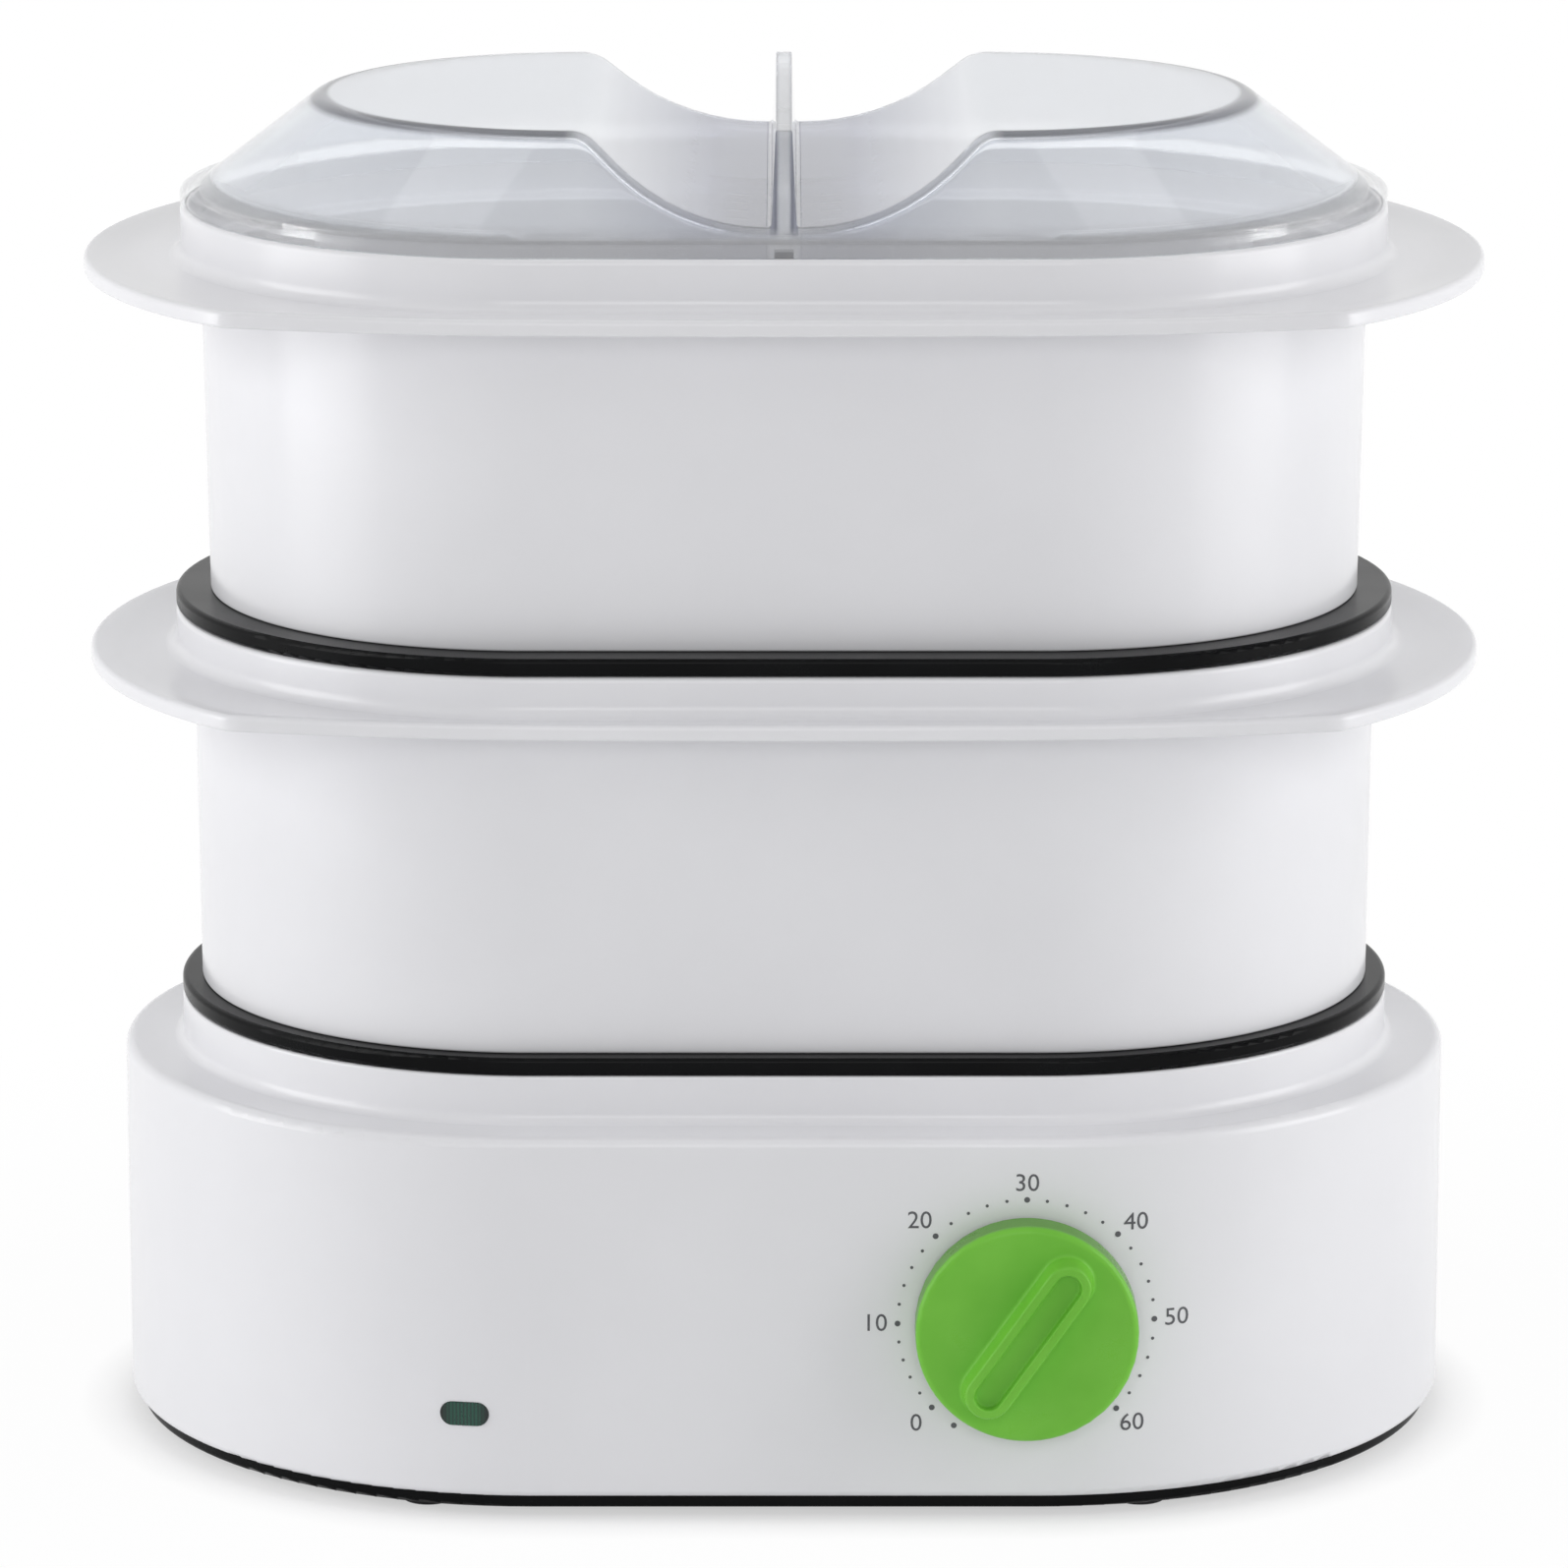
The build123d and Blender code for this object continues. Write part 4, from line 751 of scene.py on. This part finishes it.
lidLook = {
    "rimBand": 3.8,
    "ledge": 3.7,
    "slopeInset": 2.9,
    "endInset": 3.7,
    "topStraight": 51.5,
    "topRadius": 66.3,
    "wall": 2.2,
    "skirtRadius": 86.9,
    "skirtDrop": 5.0,
    "troughDepth": 21.0,
    "troughFloor": 25.5,
    "troughMouth": 48.9,
    "floorFillet": 55.0,
    "mouthFillet": 10.0,
    "finTop": 2.05,
    "finEdge": 0.5,
    "finRoot": 3.06,
    "finFillet": 1.0,
    "crease": 1.6,
    "creaseSharpness": 6,
    "slopeFoot": 0.03,
    "ledgeOverlap": 1.0,
    "rimEdge": 1.1,
    "seatEdge": 0.6,
    "skirtRoot": 0.5,
    "skirtEdge": 0.7,
    "gateHalf": 2.2,
    "gateTall": 1.6,
    "gateDepth": 2.0,
    "gateStep": 0.2,
    "endSteps": 48,
    "slopeSteps": 12,
    "creaseSteps": 7,
    "fillSteps": 9,
    "rootSteps": 6,
    "arcSteps": 9,
    "innerArcSteps": 25,
    "columnCuts": 3,
    "sharp": 50,
}


class LidSkin:
    # one skin of the lid: it slopes from a wide oval at level 0 to a narrow one at level 1, and is cut to
    # the height of a section across the lid, whose heights are given at each column
    def __init__(self, straights, radii, heights, columns, section):
        self.straights = straights
        self.radii = radii
        self.heights = heights
        self.columns = columns
        self.section = np.minimum(section, heights[1])
        self.share = np.linspace(-1, 1, lidLook["endSteps"] + 1)

    def at(self, pair, level):
        # value between a pair's own at level 0 and at level 1
        return pair[0] + (pair[1] - pair[0]) * level

    def across(self, level):
        # the front edge over the columns at a level: y = -sqrt(r^2 - (|x| - s)^2) past the straight part
        past = np.maximum(np.abs(self.columns) - self.at(self.straights, level), 0)
        y = -np.sqrt(self.at(self.radii, level) ** 2 - past**2)
        return np.stack(np.broadcast_arrays(self.columns, y, self.at(self.heights, level)), axis=-1)

    def around(self, level):
        # the right end at a level, between the two outer columns
        straight = self.at(self.straights, level)
        radius = self.at(self.radii, level)
        angle = self.share * acos((self.straights[0] - straight) / radius)
        x = straight + radius * np.cos(angle)
        y = radius * np.sin(angle)
        return np.stack(np.broadcast_arrays(x, y, self.at(self.heights, level)), axis=-1)

    def rows(self, first):
        # slope, rounded crease and flat of both blocks; the flat's rows sit at the same shares of its depth
        slopeShare = np.linspace(0, 1, lidLook["slopeSteps"])[:, None]
        bendShare = np.linspace(0, 1, lidLook["creaseSteps"])[1:, None, None]
        rise = self.heights[1] - self.heights[0]
        top = (self.section - self.heights[0]) / rise
        slopeLength = sqrt((self.radii[0] - self.radii[1]) ** 2 + rise**2)
        crease = np.minimum(lidLook["crease"], (top - first) * slopeLength / 2)
        start = top - crease / slopeLength
        slope = self.across(first + (start - first) * slopeShare)
        corner = self.across(top)
        inner = corner + np.stack([crease * 0, crease, crease * 0], axis=-1)
        bend = bezier(slope[-1], corner, inner, bendShare)
        angle = self.share * acos((self.straights[0] - self.straights[1]) / self.radii[1])
        depth = np.sin(angle) / sin(angle[-1])
        flat = inner[None] * np.array((1, 0, 1))
        flat = flat - depth[:, None, None] * inner * (0, 1, 0)
        front = np.concatenate([slope, bend])
        rear = front[::-1] * (1, -1, 1)
        self.middle = np.concatenate([front, flat[1:-1], rear])
        levels = first + (1 - crease[-1] / slopeLength - first) * slopeShare[:, 0]
        endSlope = np.stack([self.around(level) for level in levels])
        endCorner = self.around(1.0)
        square = 1 - self.share ** lidLook["creaseSharpness"]
        inward = np.stack([-np.cos(angle) * square, -np.sin(angle), angle * 0], axis=-1)
        inward /= np.linalg.norm(inward, axis=1)[:, None]
        endInner = endCorner + inward * crease[-1]
        endBend = bezier(endSlope[-1], endCorner, endInner, bendShare)
        chord = np.stack([endInner[:, 0] * 0 + self.columns[-1], flat[:, -1, 1], endInner[:, 2]], axis=-1)
        fillShare = np.linspace(0, 1, lidLook["fillSteps"])[1:, None, None]
        self.end = np.concatenate([endSlope, endBend, endInner + (chord - endInner) * fillShare])
        return self

    def addTo(self, mould):
        # front, flat and back over the columns, and the end on both sides
        mould.grid(self.middle)
        mould.grid(self.end)
        mould.grid(self.end * (-1, 1, 1))

    def rim(self, level):
        # closed row round the skin at a level
        front = self.across(level)
        right = self.around(level)[1:-1]
        return np.concatenate([front, right, front[::-1] * (1, -1, 1), right[::-1] * (-1, 1, 1)])


def bezier(first, corner, last, share):
    # (1 - t)^2 * first + 2 * t * (1 - t) * corner + t^2 * last
    return (1 - share) ** 2 * first + 2 * share * (1 - share) * corner + share**2 * last


def lidColumns(look, top, floor):
    # section across the lid: from the fin's middle over the trough to the flat top, and its mirror image,
    # each run cut in columnCuts
    half = roundedPath(
        [
            (0, top, 0),
            (look["finTop"], top, look["finEdge"]),
            (look["finRoot"], floor, look["finFillet"]),
            (look["troughFloor"], floor, look["floorFillet"]),
            (look["troughMouth"], top, look["mouthFillet"]),
            (halfStraight, top, 0),
        ],
        closed=False,
        steps=look["arcSteps"],
    )
    cuts = np.linspace(half[:-1], half[1:], look["columnCuts"] + 1, axis=1)[:, :-1]
    half = np.concatenate([cuts.reshape(-1, 2), half[-1:]])
    return np.concatenate([half[:0:-1] * (-1, 1), half]).T


def innerTrough(look, top):
    # section of the inside under the recesses: the outer one set in by the wall, without the fin
    floor = top - look["troughDepth"]
    widen = look["wall"] * (sqrt(2) - 1)
    return roundedPath(
        [
            (0, floor, 0),
            (look["troughFloor"] + widen, floor, look["floorFillet"] + look["wall"]),
            (look["troughMouth"] + widen, top, look["mouthFillet"] - look["wall"]),
            (halfStraight, top, 0),
        ],
        closed=False,
        steps=look["innerArcSteps"],
    )


def makeLid(look):
    # an outer and an inner skin, joined below by a ring: a section of rim and skirt carried round the oval
    low, high = nodeSpan("lid")
    wall = look["wall"]
    rimRadius = high.x - halfStraight
    domeRadius = rimRadius - look["ledge"]
    seat = low.z + look["skirtDrop"]
    rimTop = seat + look["rimBand"]
    columns, section = lidColumns(look, high.z, high.z - look["troughDepth"])
    outer = LidSkin(
        (halfStraight, look["topStraight"]),
        (domeRadius, look["topRadius"]),
        (rimTop, high.z),
        columns,
        section,
    ).rows(look["slopeFoot"])
    share = wall / (high.z - rimTop)
    narrower = look["endInset"] - look["slopeInset"]
    innerTop = high.z - wall
    innerStraight = halfStraight - narrower
    innerColumns = columns * innerStraight / halfStraight
    innerRadius = look["topRadius"] + (domeRadius - look["topRadius"]) * share
    inner = LidSkin(
        (innerStraight, look["topStraight"] + (halfStraight - look["topStraight"]) * share - narrower),
        (domeRadius - look["slopeInset"], innerRadius - look["slopeInset"]),
        (rimTop, innerTop),
        innerColumns,
        np.interp(np.abs(innerColumns), *innerTrough(look, innerTop).T),
    ).rows(0.0)
    endStraight = np.full(look["endSteps"] - 1, halfStraight)
    endTurn = outer.share[1:-1] * pi / 2
    stations = (
        np.concatenate([columns, endStraight, columns[::-1], -endStraight]) / halfStraight,
        np.concatenate([columns * 0 - pi / 2, endTurn, columns * 0 + pi / 2, pi + endTurn]),
    )
    skirtInside = look["skirtRadius"] - wall
    gateTop = seat + look["gateTall"]
    path = roundedPath(
        [
            (domeRadius + look["ledgeOverlap"], rimTop, 0),
            (rimRadius, rimTop, look["rimEdge"]),
            (rimRadius, gateTop + look["gateStep"], 0),
            (rimRadius, gateTop, 0),
            (rimRadius, seat, look["seatEdge"]),
            (look["skirtRadius"], seat, look["skirtRoot"]),
            (look["skirtRadius"], low.z, look["skirtEdge"]),
            (skirtInside, low.z, look["skirtEdge"]),
            (skirtInside, rimTop, 0),
        ],
        closed=False,
    )
    radius, height = path.T
    # the gate is a notch in the rim at the middle of the front
    gateBack = rimRadius - look["gateDepth"]
    atFront = (np.abs(stations[0] * halfStraight) <= look["gateHalf"]) & (stations[1] == -pi / 2)
    inGate = atFront[:, None] & (height < gateTop + look["gateStep"] / 2) & (radius > gateBack)
    ring = carryRound(stations, np.where(inGate, gateBack, radius), height)
    root = carryRound(stations, np.array([domeRadius]), np.array([rimTop]))[:, 0]
    slopeFoot = outer.rim(look["slopeFoot"])
    rootShare = np.linspace(0, 1, look["rootSteps"])[1:-1, None, None]
    rounding = bezier(slopeFoot, root, ring[:, 0], rootShare)
    rows = np.concatenate([slopeFoot[None], rounding, ring.transpose(1, 0, 2), inner.rim(0.0)[None]])
    mould = Mould()
    outer.addTo(mould)
    inner.addTo(mould)
    mould.grid(rows, loopColumns=True)
    return mould.piece("lid_dome", "lid", "clear_plastic", ["lid"], look["sharp"])


makeLid(lidLook)

knobLook = {
    "rimWall": 2.2,
    "facetLoss": 0.004,  # the CAD node's facets make its box this much too narrow each side
    "face": 3.0,
    "standoff": 0.8,
    "thickness": 9.6,
    "edge": 1.6,
    "edgeMargin": 0.5,
    "backEdge": 0.4,
    "faceFillet": 1.0,
    "gripAngle": 55.0,
    "gripReach": 23.4,
    "gripHalf": 6.5,
    "gripTopHalf": 5.7,
    "gripEdge": 0.7,
    "gripRoot": 1.0,
    "gripMargin": 1.2,
    "channelHalf": 3.5,
    "channelDepth": 2.4,
    "channelSlope": 0.3,
    "channelFillet": 0.8,
    "channelEdge": 0.5,
    "hubRadius": 7.5,
    "hubRoot": 0.8,
    "hubEdge": 0.3,
    "boreRadius": 3.0,
    "turnSteps": 40,
    "straightSteps": 24,
    "swellSteps": 8,
    "sharp": 50,
}


def knobMiddle():
    # middle of the knob's disc in x and z
    low, high = nodeSpan("timer_knob")
    return (low.x + high.x) / 2, (low.z + high.z) / 2


def makeKnob(look):
    # rows run outwards from the middle line of the grip bar: channel, bar top, bar side, then they swell
    # from the bar's oval to the knob's circle, go over its edge and return under it to the hub's bore
    low, high = nodeSpan("timer_knob")
    radius = (high.x - low.x) / 2 + look["facetLoss"]
    middleX, middleZ = knobMiddle()
    back = look["standoff"]
    front = back + look["thickness"]
    under = front - look["face"]
    top = -wallRadius - low.y
    barLine = look["gripReach"] - look["gripHalf"]
    channelFloor = top - look["channelDepth"]
    channelFoot = look["channelHalf"] - look["channelSlope"]
    share, angle = ovalStations(look["turnSteps"], look["straightSteps"])
    bar = roundedPath(
        [
            (0, channelFloor, 0),
            (channelFoot, channelFloor, look["channelFillet"]),
            (look["channelHalf"], top, look["channelEdge"]),
            (look["gripTopHalf"], top, look["gripEdge"]),
            (look["gripHalf"], front, look["gripRoot"]),
            (look["gripHalf"] + look["gripMargin"], front, 0),
        ],
        closed=False,
    )
    barRadius, barHeight = bar.T
    across = barLine * share[:, None] + barRadius * np.cos(angle)[:, None]
    up = barRadius * np.sin(angle)[:, None]
    barPoints = np.stack(np.broadcast_arrays(across, up, barHeight), axis=-1)
    heading = np.arctan2(barPoints[:, -1, 1], barPoints[:, -1, 0])[:, None]
    rim = roundedPath(
        [
            (radius - look["edge"] - look["edgeMargin"], front, 0),
            (radius, front, look["edge"]),
            (radius, back, look["backEdge"]),
            (radius - look["rimWall"], back, look["backEdge"]),
            (radius - look["rimWall"], under, look["faceFillet"]),
            (look["hubRadius"], under, look["hubRoot"]),
            (look["hubRadius"], back, look["hubEdge"]),
            (look["boreRadius"], back, look["hubEdge"]),
            (look["boreRadius"], under, 0),
            (0, under, 0),
        ],
        closed=False,
    )
    rimRadius, rimHeight = rim.T
    rimRows = np.broadcast_arrays(rimRadius * np.cos(heading), rimRadius * np.sin(heading), rimHeight)
    rimPoints = np.stack(rimRows, axis=-1)
    swell = np.linspace(0, 1, look["swellSteps"])[1:-1, None, None]
    face = barPoints[:, -1] + (rimPoints[:, 0] - barPoints[:, -1]) * swell
    local = np.concatenate([barPoints, face.transpose(1, 0, 2), rimPoints], axis=1)
    across, up, out = np.moveaxis(local, -1, 0)
    turn = radians(look["gripAngle"])
    x = middleX + across * cos(turn) - up * sin(turn)
    z = middleZ + across * sin(turn) + up * cos(turn)
    mould = Mould()
    mould.grid(np.stack([x, -wallRadius - out, z], axis=-1), loopRows=True)
    return mould.piece("knob_shell", "knob", "green_plastic", ["timer_knob"], look["sharp"])


makeKnob(knobLook)

# angles run anticlockwise from the right, in degrees; each number has its own angle and radius
dial = {
    "tickRadius": 32.0,
    "dotSize": 0.42,
    "tickSize": 0.75,
    "dotTurn": 30,  # degrees between the points of a dot's edge
    "numberTall": 4.6,
    "tallShare": 0.73,  # a digit's height as a share of the font's size
    "film": 0.04,
    "joinGap": 0.002,
    "angles": (223, 180, 135, 90, 45, 0, -45),
    "numbers": {
        0: (223.6, 37.7),
        10: (180, 37.6),
        20: (135, 37.6),
        30: (90, 36.2),
        40: (43.2, 37.3),
        50: (0, 37.6),
        60: (-45, 37.6),
    },
    "dotsBetween": 4,
    "offTick": 236,
    "ink": {
        "light": shade(104, 104, 108),
        "dark": shade(84, 84, 88),
        "cloudSize": 2,
        "grainSize": 0.15,
        "grainDepth": 0.002,
        "roughness": (0.45, 0.6),
        "specular": 0.3,
    },
}


def wallFront(x):
    # y of the housing's front at x: -sqrt(wall radius^2 - max(|x| - half straight, 0)^2)
    return -np.sqrt(wallRadius**2 - np.maximum(np.abs(x) - halfStraight, 0) ** 2)


def numeralMesh(number, look):
    # points and faces of one number, flat, as thick as the film each way
    text = bpy.data.curves.new("numeral", "FONT")
    text.body = str(number)
    text.size = look["numberTall"] / look["tallShare"]
    text.extrude = look["film"]
    text.resolution_u = 4
    text.align_x = "CENTER"
    text.align_y = "CENTER"
    holder = bpy.data.objects.new("numeral", text)
    bpy.context.scene.collection.objects.link(holder)
    made = bpy.data.meshes.new_from_object(holder)
    bpy.data.objects.remove(holder)
    points = np.empty(len(made.vertices) * 3)
    made.vertices.foreach_get("co", points)
    return points.reshape(-1, 3), [tuple(polygon.vertices) for polygon in made.polygons]


def dotMesh(size, look):
    # points and faces of one round mark: two circles film apart from the middle, with a wall and two caps
    turn = np.radians(np.arange(0, 360, look["dotTurn"]))
    sides = len(turn)
    circle = np.stack([np.cos(turn) * size, np.sin(turn) * size], axis=-1)
    points = np.concatenate([np.c_[circle, np.full(sides, out)] for out in (look["film"], -look["film"])])
    ring = [(k, k + sides, (k + 1) % sides + sides, (k + 1) % sides) for k in range(sides)]
    caps = [tuple(range(sides)), tuple(range(2 * sides - 1, sides - 1, -1))]
    return points, ring + caps


def makeDial(look):
    # numerals, ticks and dots as thin films round the knob, each laid on the curved front
    middleX, middleZ = knobMiddle()
    angles = look["angles"]
    marks = [(numeralMesh(number, look), *place) for number, place in look["numbers"].items()]
    ticks = [(angle, look["tickSize"]) for angle in (*angles, look["offTick"])]
    for first, second in zip(angles, angles[1:]):
        step = (second - first) / (look["dotsBetween"] + 1)
        ticks += [(first + step * count, look["dotSize"]) for count in range(1, look["dotsBetween"] + 1)]
    marks += [(dotMesh(size, look), angle, look["tickRadius"]) for angle, size in ticks]
    points, faces = [], []
    start = 0
    for (local, polygons), angle, radius in marks:
        across = middleX + radius * cos(radians(angle)) + local[:, 0]
        up = middleZ + radius * sin(radians(angle)) + local[:, 1]
        points.append(np.stack([across, wallFront(across) - local[:, 2], up], axis=-1))
        faces += [tuple(start + corner for corner in polygon) for polygon in polygons]
        start += len(local)
    materials["dial_ink"] = makeGrainedPlastic("dial_ink_finish", look["ink"])
    mesh = closedMesh("dial_print", np.concatenate(points), faces, look["joinGap"])
    return addPiece("dial_print", mesh, "base", "dial_ink")


makeDial(dial)

cameraLook = {
    "distance": 2070,
    "down": 13.6,
    "aim": 163.5,
    "lens": 189.59,
    "sensor": 36.0,
    "farEnd": 50,
}


def makeCamera(look):
    # long lens in front of the object, looking down at the middle of its height
    camera = bpy.data.objects.new("camera", bpy.data.cameras.new("camera"))
    bpy.context.scene.collection.objects.link(camera)
    rise = look["distance"] * tan(radians(look["down"]))
    camera.location = inScene(0, -look["distance"], look["aim"] + rise)
    camera.rotation_euler = (radians(90 - look["down"]), 0, 0)
    camera.data.lens = look["lens"]
    camera.data.sensor_width = look["sensor"]
    camera.data.clip_end = look["farEnd"]
    bpy.context.scene.camera = camera


lampAim = 150
lamps = {
    "left": {"place": (-1150, -310, 420), "size": (760, 1100), "power": 7.9},
    "right": {"place": (1150, -310, 420), "size": (760, 1100), "power": 7.7},
    "top": {"place": (0, 100, 1300), "size": (1300, 900), "power": 2.7},
    "front": {"place": (0, -1900, 900), "size": (900, 600), "power": 5.2},
}


def makeLamp(name, look):
    # soft box whose face looks at the object, lampAim above the floor
    light = bpy.data.lights.new(name, "AREA")
    light.shape = "RECTANGLE"
    light.size, light.size_y = (side * millimetre for side in look["size"])
    light.energy = look["power"]
    lamp = bpy.data.objects.new(name, light)
    bpy.context.scene.collection.objects.link(lamp)
    lamp.location = inScene(*look["place"])
    towards = inScene(0, 0, lampAim) - lamp.location
    lamp.rotation_euler = towards.to_track_quat("-Z", "Y").to_euler()


backgroundRays = ("Is Camera Ray", "Is Glossy Ray", "Is Transmission Ray")
ambient = 0.29


def seenDirectly(finish):
    # 1 for what the camera sees, straight, in gloss or through glass
    seen = [finish.node("ShaderNodeLightPath", out=ray) for ray in backgroundRays]
    return finish.maths("ADD", seen[0] + seen[1], seen[2], clamp=True)


def makeWorld():
    # white where it is seen, and at the ambient strength where it lights the object
    world = bpy.data.worlds.new("studio")
    bpy.context.scene.world = world
    finish = Finish(world)
    strength = finish.ramp(seenDirectly(finish), 0, 1, ambient, 1.0)
    back = finish.node("ShaderNodeBackground", {}, {"Color": (1.0, 1.0, 1.0, 1.0), "Strength": strength})
    finish.node("ShaderNodeOutputWorld", {}, {"Surface": back})


# how strongly the floor glows beside the object, at the bend and far off, and how far away each of these is
floorLook = {
    "half": 9000,
    "colour": shade(250, 250, 251),
    "glow": (0.55, 0.95, 1.0),
    "reach": (0, 14, 260),
}


def makeFloor(look):
    # flat sheet under the feet; to the camera it glows, least beside the object, so it stays pale and keeps
    # the shadow; the distance from the object is sqrt(max(|x| - half straight, 0)^2 + y^2) - wall radius
    mesh = bpy.data.meshes.new("floor")
    half = look["half"] * millimetre
    corners = [(-half, -half, 0), (half, -half, 0), (half, half, 0), (-half, half, 0)]
    mesh.from_pydata(corners, [], [(0, 1, 2, 3)])
    floor = bpy.data.objects.new("floor", mesh)
    bpy.context.scene.collection.objects.link(floor)
    finish = newFinish("floor_finish")
    matt = finish.node("ShaderNodeBsdfDiffuse", {}, {"Color": look["colour"]})
    glow = finish.node("ShaderNodeEmission", {}, {"Color": (1, 1, 1, 1), "Strength": 1.0})
    past = finish.maths("MAXIMUM", finish.maths("ABSOLUTE", finish.axis("X")) - halfStraight, 0)
    away = (past**2 + finish.axis("Y") ** 2) ** 0.5 - wallRadius
    low, middle, high = look["glow"]
    start, bend, end = look["reach"]
    share = finish.ramp(away, start, bend, low, middle) + finish.ramp(away, bend, end, 0, high - middle)
    mixed = finish.node("ShaderNodeMixShader", {}, {0: seenDirectly(finish) * share, 1: matt, 2: glow})
    finish.node("ShaderNodeOutputMaterial", {}, {"Surface": mixed})
    mesh.materials.append(finish.owner)


makeCamera(cameraLook)
for lampName, lampLook in lamps.items():
    makeLamp(lampName, lampLook)
makeWorld()
makeFloor(floorLook)
bpy.context.scene.view_settings.view_transform = "Standard"
print("camera, light and floor in place")
